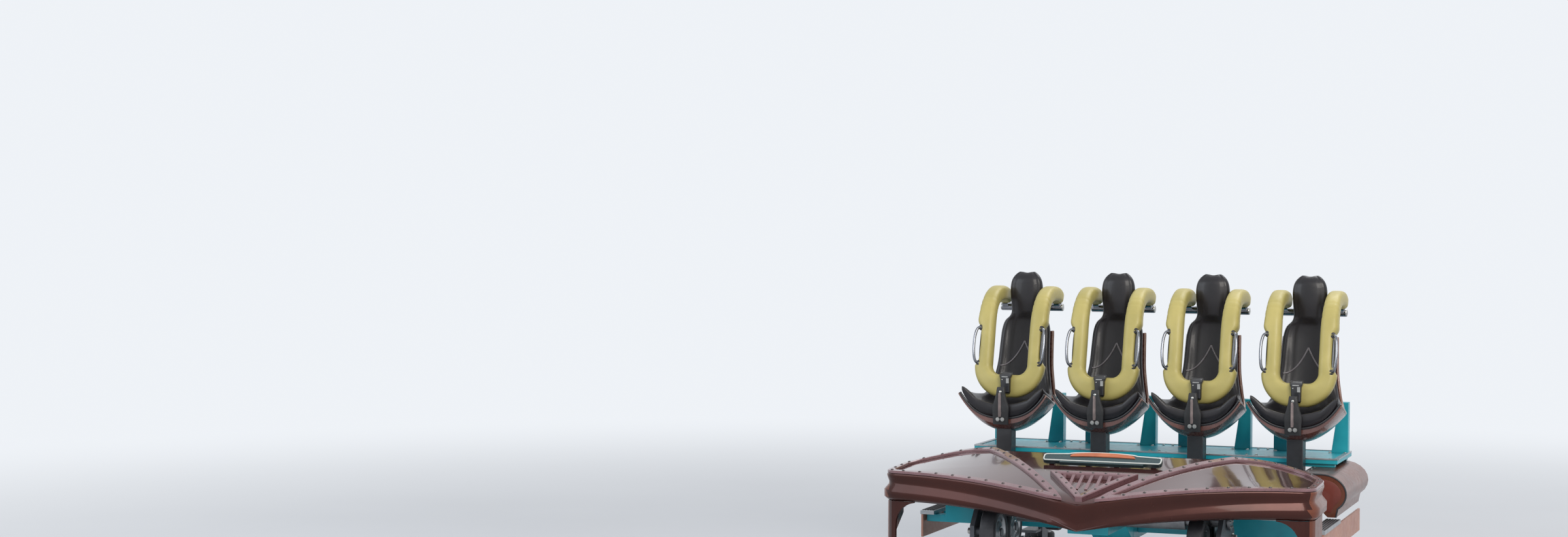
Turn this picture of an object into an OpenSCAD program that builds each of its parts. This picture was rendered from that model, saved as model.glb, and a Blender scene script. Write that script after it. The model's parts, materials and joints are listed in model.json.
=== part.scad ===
// Lead car of a four-abreast roller coaster train, in millimetres.
// X runs across the car, the nose points to -Y, Z is up from the floor that the lowest wheels stand on.
// Lengths along Y are laid out from the front lip of the seats and shifted at the end,
// so that the origin is under the middle of the car.

/* [Seats] */
// Distance between two neighbouring seats
seat_pitch = 620; // [600:5:680]
// Height of the top of the headrests
head_top = 2000; // [1980:5:2040]
// Half width of the seat's front lip
lip_half = 279; // [250:1:285]
// Height of the tips of the front lip
lip_tip_z = 1262; // [1250:1:1280]
// Thickness of the moulded seat shell
shell_t = 16; // [10:1:24]
// Width of the pedestal under each seat
post_w = 100; // [80:1:130]

/* [Restraints] */
// Width of one padded arm
arm_w = 112; // [100:1:116]
// Distance of an arm's middle from the seat's middle
arm_x = 176; // [174:1:180]
// Thickness of the pad from front to back
pad_t = 104; // [80:1:110]
// Radius of the pivot tube behind the headrest
pivot_r = 25; // [20:1:28]
// Running clearance of the pivot tube in its ears
pivot_gap = 0.1; // [0.05:0.01:0.1]

/* [Nose] */
// Half width over the ends of the nose
nose_half = 1275; // [1265:1:1285]
// How far the point of the nose lies in front of the seat lips
nose_reach = 1671; // [1640:1:1700]
// How far the ends of the nose lie behind its point
nose_sweep = 370; // [350:1:390]
// Height of the trim at the point of the nose
nose_tip_z = 747; // [740:1:755]
// Thickness of the hood's shell
hood_t = 12; // [8:1:16]
// Width of the flat trim bars that frame the hood's panels
trim_w = 46; // [36:1:56]
// Height of the trim bars over the hood
trim_h = 15; // [10:1:18]
// Number of slats in the grille
slat_count = 7; // [5:1:9]

/* [Wheels] */
// Distance between the middles of the two rails
gauge = 1220; // [1180:5:1240]
// Outer diameter of the rail that the wheels grip
rail_d = 168; // [160:1:172]
// Diameter of a running wheel
run_d = 300; // [280:1:304]
// Diameter of a guide wheel
guide_d = 170; // [150:1:172]
// Diameter of an up-stop wheel
stop_d = 180; // [160:1:186]
// Tread width of the running wheels
run_w = 92; // [80:1:100]
// Distance between the front and the rear axle
wheelbase = 1375; // [1360:5:1390]

/* [Body] */
// Height of the floor trays
floor_z = 600; // [590:1:606]
// Height of the deck under and behind the seats
deck_z = 870; // [860:1:890]
// Height of the boarding steps
step_z = 540; // [530:1:550]
// Half width over the rear fenders
fender_half = 1285; // [1260:1:1290]
// Top of the rear fenders
fender_z = 818; // [800:1:825]
// Radius of the drawbar pin's bore
hitch_r = 25; // [20:1:28]

/* [Hidden] */
// Middle of the car's length, measured from the seat lips
tail_y = 960;
plan_shift = (nose_reach - tail_y) / 2;
// Clear distance left between pieces that do not move against each other
seat_gap = 0.3;
seat_x = [for (i = [0 : 3]) (i - 1.5) * seat_pitch];

// Half width of the pylon behind each seat, and fore and aft ends of the rear fenders
pylon_half = 235;
fender_front = -200;
fender_back = 740;

// Heights that follow from the wheels: the up-stop wheels stand on the floor
rail_gap = 3;
stop_z = stop_d / 2;
rail_z = stop_d + rail_gap + rail_d / 2;
run_z = rail_z + rail_d / 2 + run_d / 2;
guide_x = gauge / 2 + rail_d / 2 + rail_gap + guide_d / 2;
axle_z = run_z + 112;
front_axle_y = -1075;
rear_axle_y = front_axle_y + wheelbase;
run_dy = 158;
guide_dy = 165;
stop_dy = 102;

CARRIERS = ["front_left", "front_right", "rear_left", "rear_right"];
// Columns: sideways sign, axle position along Y
carrier_at = [[-1, front_axle_y], [1, front_axle_y], [-1, rear_axle_y], [1, rear_axle_y]];
WHEELS = ["run_wheel", "guide_wheel", "stop_wheel"];
ENDS = ["fore", "aft"];

black = [0.09, 0.09, 0.10];
copper = [0.36, 0.20, 0.17];
teal = [0.10, 0.50, 0.58];
olive = [0.66, 0.60, 0.30];
steel = [0.62, 0.63, 0.65];
skirt_brown = [0.60, 0.42, 0.36];
rubber = [0.16, 0.16, 0.17];

function lerp(a, b, t) = a + (b - a) * t;

// Solid through a list of rings with the same number of points, closed by its end rings.
// A hollow end ring runs out and back along the same line, so its cap is made of strips.
module skin(rings, hollow = false) {
    n = len(rings);
    m = len(rings[0]);
    last = (n - 1) * m;
    caps = hollow ? [for (j = [0 : m / 2 - 2], e = [0, 1]) e == 0 ? [j, j + 1, m - 2 - j, m - 1 - j]
            : [last + m - 1 - j, last + m - 2 - j, last + j + 1, last + j]]
        : [[for (j = [0 : m - 1]) j], [for (j = [m - 1 : -1 : 0]) last + j]];
    polyhedron([for (r = rings, p = r) p], concat(tube_faces(n, m, n - 2), caps), convexity = 6);
}

// Closed loop of rings, without ends
module ring_loop(rings) polyhedron([for (r = rings, p = r) p],
    tube_faces(len(rings), len(rings[0]), len(rings) - 1), convexity = 6);

// Two triangles for each field between ring i and the next, so that a twisted field is cut the same way
function tube_faces(n, m, last) = [for (i = [0 : last], j = [0 : m - 1], e = [0, 1]) let (
        next = ((i + 1) % n) * m, k = (j + 1) % m)
    e == 0 ? [i * m + j, next + j, next + k] : [i * m + j, next + k, i * m + k]];

// Extrudes a side view, given in Y and Z, across the car between two X values
module across(x0, x1) {
    translate([x0, 0, 0]) rotate([90, 0, 90]) linear_extrude(x1 - x0) children();
}

module both_sides() {
    children();
    mirror([1, 0, 0]) children();
}

// Chassis: a cranked spine that runs low under the feet and rises over both axles
spine_w = 240;
spine_h = 150;
spine_low = floor_z - 16 - spine_h;
spine_high = axle_z - spine_h / 2;
spine_top = axle_z + spine_h / 2;
spine_front = -1400;
spine_back = tail_y - 150;
// Cross beams over the axles carry the seats and the nose
beam_h = 80;
beam_top = spine_top + seat_gap + beam_h;
seat_beam_y = [65, 185];
nose_beam_y = [-900, -840];
nose_beam_half = nose_half - 100;
rib_gap = 1.1;
rib_t = 20;
middle_rib_half = [640, 240];
panel_rib_end = [275, 75];
spine_rise = 170;
spine_elbow = 40;
// The low stretch of the spine ends this far beyond the floor trays
spine_foot = 45;
outrigger_y = [-620, -280];
outrigger_w = 80;
outrigger_rise = 36;
ledge_w = 60;
step_over = 30;
leg_w = 60;
module chassis() color(teal) {
    for (i = [0 : 4]) across(-spine_w / 2, spine_w / 2) spine_section(i);
    for (b = [[seat_beam_y, fender_inner - seat_gap], [nose_beam_y, nose_beam_half]])
        translate([-b[1], b[0][0], spine_top + seat_gap]) cube([2 * b[1], b[0][1] - b[0][0], beam_h]);
    // Ribs under the hood: two in the middle and one under each panel
    middle_rib(nose_beam_y[0], beam_top, middle_rib_half[0]);
    middle_rib(spine_front, spine_top, middle_rib_half[1]);
    both_sides()
        panel_rib(nose_beam_y[0], nose_beam_half - panel_rib_end[0], nose_beam_half - panel_rib_end[1]);
    both_sides() for (y = outrigger_y) outrigger(y);
    // Legs that carry the deck
    both_sides() for (y = [rear_axle_y - leg_w, spine_back - 2 * leg_w])
        translate([spine_w / 2 - leg_w, y, spine_top + seat_gap])
            cube([leg_w, leg_w, deck_z - deck_t - spine_top - 2 * seat_gap]);
}
// The spine is five straight box sections, mitred end to end
function spine_corners(in, z) = let (a = tray_front - spine_foot + in, b = tray_back + spine_foot - in)
    [[spine_front, spine_high + z], [a - spine_rise, spine_high + z], [a, spine_low + z],
        [b, spine_low + z], [b + spine_rise, spine_high + z], [spine_back, spine_high + z]];
module spine_section(i) {
    low = spine_corners(0, 0);
    top = spine_corners(spine_elbow, spine_h);
    gap = [seat_gap / 2, 0];
    polygon([low[i] + gap, low[i + 1] - gap, top[i + 1] - gap, top[i] + gap]);
}
module middle_rib(y, foot, half) translate([-half, y, foot + seat_gap])
    cube([2 * half, rib_t, middle_z(y) - hood_t - foot - seat_gap - rib_gap]);
module panel_rib(y, x0, x1) translate([0, y + rib_t, 0]) rotate([90, 0, 0]) linear_extrude(rib_t)
    polygon([[x0, beam_top + seat_gap], [x1, beam_top + seat_gap],
        for (x = [x1, x0]) [x, crown_z(x, y) - trim_h - hood_t - rib_gap]]);
// Outrigger under the floor trays, with a lower ledge for the step
module outrigger(y) translate([0, y + outrigger_w / 2, 0]) rotate([90, 0, 0]) linear_extrude(outrigger_w) {
    root = spine_w / 2 + seat_gap;
    ledge = tray_half - ledge_w;
    polygon([[root, spine_low + outrigger_rise], [step_half - step_over, spine_low + outrigger_rise],
        [step_half - step_over, step_z - step_t - seat_gap], [ledge, step_z - step_t - seat_gap],
        [ledge, floor_z - tray_t - seat_gap], [root, floor_z - tray_t - seat_gap]]);
}

deck_t = 30;
deck_front = 210;
deck_back = 800;
deck_half = seat_x[3] + pylon_half + 5;
deck_beam_x = 140;
deck_beam_in = 20;
deck_beam_w = 60;
module deck() color(teal) {
    translate([-deck_half, deck_front, deck_z - deck_t])
        cube([2 * deck_half, deck_back - deck_front, deck_t]);
    // Stiffening beams under the plate
    for (y = [deck_front + deck_beam_in, deck_back - deck_beam_in - deck_beam_w]) both_sides()
        translate([deck_beam_x, y, fender_z + seat_gap])
            cube([deck_half - deck_beam_in - deck_beam_x, deck_beam_w,
                deck_z - deck_t - fender_z - seat_gap + 1]);
}

tray_front = -740;
tray_back = fender_front - seat_gap;
tray_half = 1150;
tray_t = 10;
// Tread ribs on the trays and the kerb along their outer edge
rib_count = 23;
rib_pitch = 98;
rib_w = 12;
rib_h = 4;
rib_in = 40;
kerb_h = 26;
module floor_trays() color(steel) {
    translate([-tray_half, tray_front, floor_z - tray_t])
        cube([2 * tray_half, tray_back - tray_front, tray_t]);
    for (i = [0 : rib_count - 1])
        translate([(i - (rib_count - 1) / 2) * rib_pitch - rib_w / 2, tray_front + rib_in, floor_z])
            cube([rib_w, tray_back - tray_front - 2 * rib_in, rib_h]);
    both_sides() translate([tray_half - rib_w, tray_front, floor_z])
        cube([rib_w, tray_back - tray_front, kerb_h]);
}

step_w = 90;
step_half = tray_half + step_w;
step_t = 24;
step_y = [tray_front + 40, fender_front + 100];
module side_steps() color(steel)
    both_sides() translate([tray_half + seat_gap, step_y[0], step_z - step_t])
        cube([step_w - seat_gap, step_y[1] - step_y[0], step_t]);

skirt_h = 140;
skirt_t = 14;
skirt_in = 6;
module side_skirts() color(skirt_brown)
    both_sides() translate([step_half - skirt_t - skirt_in, step_y[0], step_z - step_t - seat_gap - skirt_h])
        cube([skirt_t, fender_back - step_y[0], skirt_h]);

// Rear fenders: barrel-sided covers over the rear wheels, clear of the outer seats' posts
fender_wall = 14;
fender_inner = seat_x[3] + post_w / 2 + 30;
// Barrel: how far it bulges sideways and how high it is over its widest line
barrel_w = 150;
barrel_h = 118;
barrel_turns = [80 : -16 : -48];
// The outer foot lies this far inside the widest line, from its outer to its inner corner
fender_foot = [60, 110];
fender_foot_z = step_z + 20;
// Section of the fender, moved inwards by the wall for the hollow, which is open below
module fender_section(in) {
    drop = min(in, 1);
    polygon(concat([[fender_inner + in, fender_z - in], [fender_half - barrel_w, fender_z - in]],
        [for (a = barrel_turns)
            [fender_half - barrel_w + (barrel_w - in) * cos(a),
                fender_z - barrel_h + (barrel_h - in) * sin(a)]],
        [[fender_half - fender_foot[0] - in, fender_foot_z],
            [fender_half - fender_foot[1], fender_foot_z - drop],
            [fender_half - barrel_w, floor_z - drop], [fender_inner + in, floor_z - drop]]));
}
module rear_fenders() color(copper) both_sides() difference() {
    translate([0, fender_back, 0]) rotate([90, 0, 0]) linear_extrude(fender_back - fender_front)
        fender_section(0);
    translate([0, fender_back + 1, 0]) rotate([90, 0, 0])
        linear_extrude(fender_back - fender_front - fender_wall + 1) fender_section(fender_wall);
}

// Axles: a cross tube with a stub at each end that each wheel carrier rocks on
axle_r = 60;
stub_r = 35;
plate_x = gauge / 2 + rail_d / 2 + 20;
plate_t = 28;
axle_end = gauge / 2 - run_w / 2 - 60;
cap_r = 52;
cap_t = 14;
cap_x = plate_x + plate_t + 8;
module axles() color(steel) for (y = [front_axle_y, rear_axle_y]) translate([0, y, axle_z]) both_sides() {
    rod_across(spine_w / 2 + seat_gap, axle_end, axle_r);
    rod_across(axle_end + seat_gap, cap_x - seat_gap, stub_r);
    rod_across(cap_x, cap_x + cap_t, cap_r);
}
module rod_across(x0, x1, r) translate([x0, 0, 0]) rotate([0, 90, 0]) cylinder(r = r, h = x1 - x0);

fin_t = 12;
fin_y = [-640, -120];
fin_foot = 290;
module brake_fin() color(steel)
    translate([-fin_t / 2, fin_y[0], fin_foot])
        cube([fin_t, fin_y[1] - fin_y[0], spine_low - fin_foot - seat_gap]);

// Hitch: a clevis on a flange behind the spine, with the bore for the drawbar's pin
hitch_ear = 24;
hitch_mouth = 70;
hitch_round = 55;
flange_half = [80, 70];
flange_t = 24;
clevis_half = 60;
clevis_root = 10;
module hitch() color(steel) difference() {
    union() {
        translate([-flange_half[0], spine_back + seat_gap, axle_z - flange_half[1]])
            cube([2 * flange_half[0], flange_t, 2 * flange_half[1]]);
        for (s = [-1, 1]) hull() {
            z0 = axle_z + (s > 0 ? hitch_mouth / 2 : -hitch_mouth / 2 - hitch_ear);
            translate([-clevis_half, spine_back + clevis_root, z0])
                cube([2 * clevis_half, clevis_root, hitch_ear]);
            translate([0, tail_y - hitch_round, z0]) cylinder(r = hitch_round, h = hitch_ear, $fn = 32);
        }
    }
    translate([0, tail_y - hitch_round, axle_z - flange_half[1]])
        cylinder(r = hitch_r, h = 2 * flange_half[1]);
}

// Nose: the front edge in plan is a V whose ends turn back into the sides and round to the rear
corner_r = 110;
tail_r = 240;
side_end_y = -985;
sweep_slope = nose_sweep / nose_half;
sweep_angle = atan(sweep_slope);
corner_x = nose_half - corner_r;
corner_y = -nose_reach + sweep_slope * (corner_x + corner_r * sin(sweep_angle))
    + corner_r * cos(sweep_angle);
corner_turns = [for (a = [sweep_angle - 90 : 17 : 0]) a];
tail_turns = [15 : 15 : 75];
front_x = [180, 260, 340, 420, 500, 580, 660, 740, 820, 900, 980, 1060, 1130];
// Line that lies inside the edge by an amount; each entry is [x, y, outward angle, share of the way out]
function inside_edge(in) = concat(
    [for (x = front_x) [x + in * sin(sweep_angle), -nose_reach + sweep_slope * x + in * cos(sweep_angle),
        sweep_angle - 90, x / nose_half]],
    [for (a = corner_turns) concat(turn_point([corner_x, corner_y], corner_r - in, a), 1)],
    [for (y = [corner_y, side_end_y]) [nose_half - in, y, 0, 1]],
    [for (a = tail_turns) concat(turn_point([nose_half - tail_r, side_end_y], tail_r - in, a), 1)]);
function turn_point(c, r, a) = [c[0] + r * cos(a), c[1] + r * sin(a), a];
// Height of the trim's top: it rises to the rear, and less so towards the ends
rise_back = 0.4223;
rise_out = 0.0659;
twist = 0.000305;
function crown_z(x, y) = let (t = y + nose_reach)
    nose_tip_z + rise_back * t + rise_out * abs(x) - twist * abs(x) * t;
// Height of the sunk middle of the hood between the two panels
middle_sink = 18;
function middle_z(y) = let (t = y + nose_reach) nose_tip_z - middle_sink + 0.36 * t - 0.00012 * t * t;

// Fascia section: offset outwards and height from the trim's top; the lower lip grows towards the ends
edge_drop = 30;
band_h = [131, 54];
lip_h = [1, 96];
lip_out = 16;
function fascia(t) = let (h1 = lerp(band_h[0], band_h[1], sqrt(t)), h2 = lerp(lip_h[0], lip_h[1], sqrt(t)),
    b = lip_out * t, e = -edge_drop, low = e - h1 - h2) [
    [-52, -44], [-20, -40], [-8, -15.2], [-2, -19], [0, e],
    [-6, e - 0.35 * h1], [-13, e - 0.7 * h1], [-11, e - h1],
    [b, e - h1 - 0.3 * h2], [b - 1, e - h1 - 0.75 * h2], [-12, low - 1],
    [-26, low], [-30, e - 0.8 * h1], [-26, e - 26], [-52, -58]];
function fascia_ring(s, sign) = [for (p = fascia(s[3]))
    let (x = s[0] + p[0] * cos(s[2]), y = s[1] + p[0] * sin(s[2])) [sign * x, y, crown_z(x, y) + p[1]]];
edge_line = inside_edge(0);

// The raised frame of a hood panel runs round this line: point, front, corner, side, rear and back inwards
trim_in = 26;
panel_tip = [127, -nose_reach + 62];
panel_apex = [735, -846];
panel_rear = [[1000, -757], [925, -766], [880, -780], [835, -797], [785, -821]];
panel_front = [for (s = inside_edge(trim_in)) [s[0], s[1]]];
panel_line = concat([panel_tip], [for (p = panel_front) if (p[0] > panel_tip[0] + trim_w) p],
    panel_rear, [panel_apex]);
panel_rows = len(panel_line) - 1;
// The wall between a panel and the sunk middle stands along the frame's inner bar
wall_w = 28;
wall_gap = 0.8;
bar_dir = (panel_apex - panel_tip) / norm(panel_apex - panel_tip);
bar_side = [-bar_dir[1], bar_dir[0]] * wall_w / 2;
function inner_bar(v) = lerp(panel_tip, panel_apex, v);
function middle_half(y) = min((y + nose_reach - trim_in) / sweep_slope,
    lerp(panel_tip[0], panel_apex[0], (y - panel_tip[1]) / (panel_apex[1] - panel_tip[1]))
    - wall_w / 2 / bar_dir[1] - 0.5);
middle_rows = concat([-nose_reach + 30], [for (v = [0 : 6]) lerp(panel_tip[1], panel_apex[1], v / 6)]);
stiffener_h = 50;
stiffener_in = [60, 5];
module nose_shell() color(copper) {
    n = len(edge_line) - 1;
    skin(concat(
        [for (i = [n : -1 : 0]) fascia_ring(edge_line[i], -1)],
        [[for (p = fascia(0)) [0, -nose_reach - p[0], crown_z(0, -nose_reach - p[0]) + p[1]]]],
        [for (i = [0 : n]) fascia_ring(edge_line[i], 1)]));
    both_sides() panel_plate();
    both_sides() panel_wall();
    skin([for (y = middle_rows) concat(
        [for (u = [-1, 0, 1]) [u * middle_half(y), y, middle_z(y)]],
        [for (u = [1, 0, -1]) [u * middle_half(y), y, middle_z(y) - hood_t]])], true);
    // Stiffener under the rear edge of the middle
    half = panel_apex[0] - stiffener_in[0];
    y = panel_apex[1] - hood_t - stiffener_in[1];
    translate([-half, y, middle_z(y) - hood_t - stiffener_h - 1]) cube([2 * half, hood_t, stiffener_h]);
    both_sides() nose_wall();
}
// Plate of a panel, in rows from over the wall out to the middle of the frame's outer bars
module panel_plate() skin([for (i = [0 : panel_rows])
    let (a = inner_bar(i / panel_rows) + bar_side, b = panel_line[i])
    concat([for (u = [0 : 0.25 : 1]) panel_point(lerp(a, b, u), 0)],
        [for (u = [1 : -0.25 : 0]) panel_point(lerp(a, b, u), hood_t)])], true);
function panel_point(p, drop) = [p[0], p[1], crown_z(p[0], p[1]) - trim_h - drop];
// Wall under the inner edge of a panel; it runs out where the panel meets the middle
module panel_wall() skin([for (i = [2 : floor(0.88 * panel_rows)]) let (p = inner_bar(i / panel_rows)) concat(
    [for (q = [p + bar_side, p - bar_side]) panel_point(q, hood_t + wall_gap)],
    [for (q = [p - bar_side, p + bar_side]) [q[0], q[1], middle_z(p[1]) - hood_t]])]);
// End wall: hangs from the fascia's lip round the corner, with an arched inner edge in front
wall_foot = 400;
wall_back_foot = 560;
arch_r = 140;
arch_gap = 2;
wall_in = [8, 22];
wall_x = corner_x + corner_r * sin(sweep_angle);
lip_seat = 1.6;
function lip_low(x, y, t) = crown_z(x, y) - edge_drop - lerp(band_h[0], band_h[1], sqrt(t))
    - lerp(lip_h[0], lip_h[1], sqrt(t)) - lip_seat;
module nose_wall() {
    low = lip_low(wall_x, -nose_reach + sweep_slope * wall_x, wall_x / nose_half);
    arch = [for (a = [6 : 12 : 90])
        [wall_x - arch_r + arch_r * sin(a), low - arch_r + arch_r * cos(a) - arch_gap]];
    front = [for (q = concat(arch, [[wall_x + 1, wall_foot]]))
        [q[0], -nose_reach + sweep_slope * q[0], sweep_angle - 90, q[0] / nose_half, q[1]]];
    turn = [for (s = edge_line) if (s[3] == 1 && s[2] <= 0 && s[2] > sweep_angle - 89)
        concat(s, s[1] < side_end_y ? wall_foot : wall_back_foot)];
    skin([for (s = concat(front, turn)) let (top = lip_low(s[0], s[1], s[3]))
        [for (q = [[wall_in[1], top], [wall_in[0], top], [wall_in[0], s[4]], [wall_in[1], s[4]]])
            [s[0] - q[0] * cos(s[2]), s[1] - q[0] * sin(s[2]), q[1]]]]);
}

// Raised frame with rounded edges round a closed line; h is its height over the base surface,
// and kind picks that surface: 0 for the panels' crown, 1 for the sunk middle
function base_z(kind, p) = kind == 0 ? crown_z(p[0], p[1]) - trim_h : middle_z(p[1]);
frame_lift = 0.7;
function unit(v) = v / norm(v);
function turned(v) = [v[1], -v[0]];
module frame_loop(line, w, h, kind, point_max) {
    n = len(line);
    round = 4;
    section = [[-w / 2, 0], [-w / 2, h - round], [-w / 2 + round, h],
        [w / 2 - round, h], [w / 2, h - round], [w / 2, 0]];
    ring_loop([for (i = [0 : n - 1]) let (
            a = unit(line[i] - line[(i + n - 1) % n]),
            b = unit(line[(i + 1) % n] - line[i]),
            m = turned(a) + turned(b),
            mitre = m * 2 / (m * m))
        [for (q = section) let (v = mitre * q[0],
                p = line[i] + (q[0] > 0 && norm(v) > point_max ? v * point_max / norm(v) : v))
            [p[0], p[1], base_z(kind, p) + frame_lift + q[1]]]]);
}
module nose_panels() color(copper) both_sides()
    frame_loop(concat(panel_line, [for (i = [panel_rows - 1 : -1 : 2]) inner_bar(i / panel_rows)]),
        trim_w, trim_h, 0, 0.8 * trim_w);

// Louvre grille: a raised three-sided frame on the sunk middle, with wedge slats that run front to back
grille_half = 226;
grille_tip_half = 9;
grille_tip = -nose_reach + 74;
grille_len = 315;
grille_back = grille_tip + grille_len;
grille_w = 40;
grille_h = 30;
slat_pitch = 54;
slat_w = 18;
slat_rear_h = 24;
slat_front_h = 3;
slat_start = 140;
slat_min = 10;
slat_gap = 0.5;
slat_lift = 1.6;
module nose_grille() color(copper) {
    lean = (grille_half - grille_tip_half) / grille_len;
    inner_rows = [for (y = middle_rows) if (y > grille_tip + grille_w && y < grille_back - grille_w) y];
    rows = concat([grille_tip], inner_rows, [grille_back]);
    side = [for (y = rows) [grille_tip_half + (y - grille_tip) * lean, y]];
    frame_loop(concat(side, [for (i = [len(side) - 1 : -1 : 0]) [-side[i][0], side[i][1]]]),
        grille_w, grille_h, 1, grille_w);
    // A slat starts just clear of the side bar and ends just clear of the rear one
    for (i = [0 : slat_count - 1]) {
        x = (i - (slat_count - 1) / 2) * slat_pitch;
        y0 = (abs(x) + slat_w / 2 + grille_w / 2 * norm([1, lean]) - grille_tip_half) / lean + 2 * slat_gap;
        y1 = grille_back - grille_w / 2 - slat_gap;
        if (grille_tip + y0 < y1 - slat_min) slat(x, grille_tip + max(y0, slat_start), y1);
    }
}
module slat(x, y0, y1) skin([for (e = [[y0, slat_front_h], [y1, slat_rear_h]])
    let (z = middle_z(e[0]) + slat_lift, h = slat_w / 2)
    [[x - h, e[0], z], [x - h, e[0], z + e[1]], [x + h, e[0], z + e[1]], [x + h, e[0], z]]]);

// Blank nameboard that leans back behind the grille, with a raised middle
plaque_half = 356;
plaque_h = 62;
plaque_t = 22;
plaque_lean = 37;
plaque_y = -nose_reach + 577;
plaque_rise = 27;
plaque_corner = 20;
// Raised middle: half width and height over the board; tab under it: half width and depth
hump = [215, 26];
tab = [250, 9];
bracket_x = [70, 290];
bracket_w = 30;
bracket_y = [25, 60];
module nose_plaque() color([0.13, 0.20, 0.21]) {
    translate([0, plaque_y, middle_z(plaque_y) + plaque_rise]) rotate([plaque_lean, 0, 0])
        translate([0, 0, -plaque_t]) linear_extrude(plaque_t) plaque_outline();
    // Brackets that hold the board off the hood
    both_sides() for (x = bracket_x) translate([x, 0, 0]) across(0, bracket_w) polygon([
        for (v = bracket_y) let (y = plaque_y + v) [y, middle_z(y) + seat_gap],
        for (v = [bracket_y[1], bracket_y[0]]) [plaque_y + v, middle_z(plaque_y) + plaque_rise
            + v * tan(plaque_lean) - plaque_t / cos(plaque_lean) + 2]]);
}
module plaque_outline() {
    r = plaque_corner;
    hull() both_sides() for (y = [r, plaque_h - r]) translate([plaque_half - r, y]) circle(r = r, $fn = 32);
    polygon([for (a = [0 : 15 : 180]) [-hump[0] * cos(a), plaque_h - 2 + hump[1] * pow(sin(a), 0.7)]]);
    translate([-tab[0], -tab[1]]) square([2 * tab[0], tab[1] + 3]);
}

// Seats: one padded body swept from the front lip back along the pan and up to the headrest
// Columns: y, z of the middle, direction of travel in the side view, half width, thickness, cup depth,
// depth of the shell's belly under it
lip_mid_z = 1106;
lip_cup = lip_tip_z - lip_mid_z - 34;
cushion_table = [
    [6,   lip_mid_z, 0, lip_half - 8, 40, lip_cup + 2, 30],
    [24,  lip_mid_z, 0, lip_half,     68, lip_cup, 40],
    [110, 1098, -4,  lip_half - 4, 72, lip_cup - 12, 40],
    [260, 1090, 0,   lip_half - 14, 76, 96, 40],
    [400, 1104, 22,  232, 84, 84, 30],
    [484, 1160, 50,  222, 88, 66, 16],
    [532, 1240, 70,  216, 88, 52, 8],
    [566, 1380, 78,  212, 86, 42, 8],
    [590, 1520, 80,  200, 84, 34, 8],
    [606, 1610, 82,  158, 82, 20, 4],
    [612, 1668, 84,  90,  86, 8, 0],
    [604, 1740, 92,  101, 100, 8, 0],
    [598, 1810, 92,  111, 104, 8, 0],
    [598, 1876, 90,  117, 100, 8, 0],
    [599, 1925, 90,  106, 94, 6, 0],
    [602, 1968, 88,  82,  80, 4, 0],
    [606, head_top - 2, 88, 57, 52, 0, 0]];
cushion_side = 8;
// Half thickness of the padding, which thins out towards its edges
cushion_thin = 0.7;
function padding(s, u) = s[4] / 2 * sqrt(1 - cushion_thin * pow(u, 4));
function cushion_point(s, x0, u, side) = seat_point(s, x0 + s[3] * u, s[5] * u * u + side * padding(s, u));
function cushion_ring(s, x0) = let (m = cushion_side) [
    for (i = [0 : m]) cushion_point(s, x0, -1 + 2 * i / m, 1),
    for (i = [m : -1 : 0]) cushion_point(s, x0, -1 + 2 * i / m, -1)];
function seat_point(s, x, n) = [x, s[0] - n * sin(s[2]), s[1] + n * cos(s[2])];
module seat_cushion(i) color(black) skin([for (s = cushion_table) cushion_ring(s, seat_x[i])], true);

// Seat shell: a bowl under the cushion that closes on the back
shell_rows = 9;
shell_gap = 1.3;
function shell_ring(s, x0) = let (m = cushion_side, k = 1.06) [
    for (i = [0 : m]) let (u = -1 + 2 * i / m)
        seat_point(s, x0 + k * s[3] * u, s[5] * k * k * u * u - s[4] / 2 - shell_gap + 8 * pow(u, 8)),
    for (i = [m : -1 : 0]) let (u = -1 + 2 * i / m, belly = s[6] * (1 - u * u))
        seat_point(s, x0 + k * (s[3] + 6) * u,
            s[5] * k * k * u * u - s[4] / 2 - shell_gap - shell_t - belly)];
module seat_shell(i) color(copper)
    skin([for (r = [1 : shell_rows]) shell_ring(cushion_table[r], seat_x[i])], true);

// Pivot ears stand on the back of each seat
pivot_y = 730;
pivot_z = 1760;
ear_x = 74;
ear_t = 22;
ear_y = 690;

// Height of the shell's underside at one station, and where the posts meet it
function shell_under(s) = s[1] - (s[4] / 2 + shell_gap + shell_t + s[6]) * cos(s[2]);
post_top = lerp(shell_under(cushion_table[2]), shell_under(cushion_table[3]),
    (seat_beam_y[1] - cushion_table[2][0]) / (cushion_table[3][0] - cushion_table[2][0])) - 2 * seat_gap;
module seat_posts() color(black) for (x = seat_x)
    translate([x - post_w / 2, seat_beam_y[0] + 4, beam_top + seat_gap])
        cube([post_w, seat_beam_y[1] - seat_beam_y[0] - 8, post_top - beam_top - seat_gap]);

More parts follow.
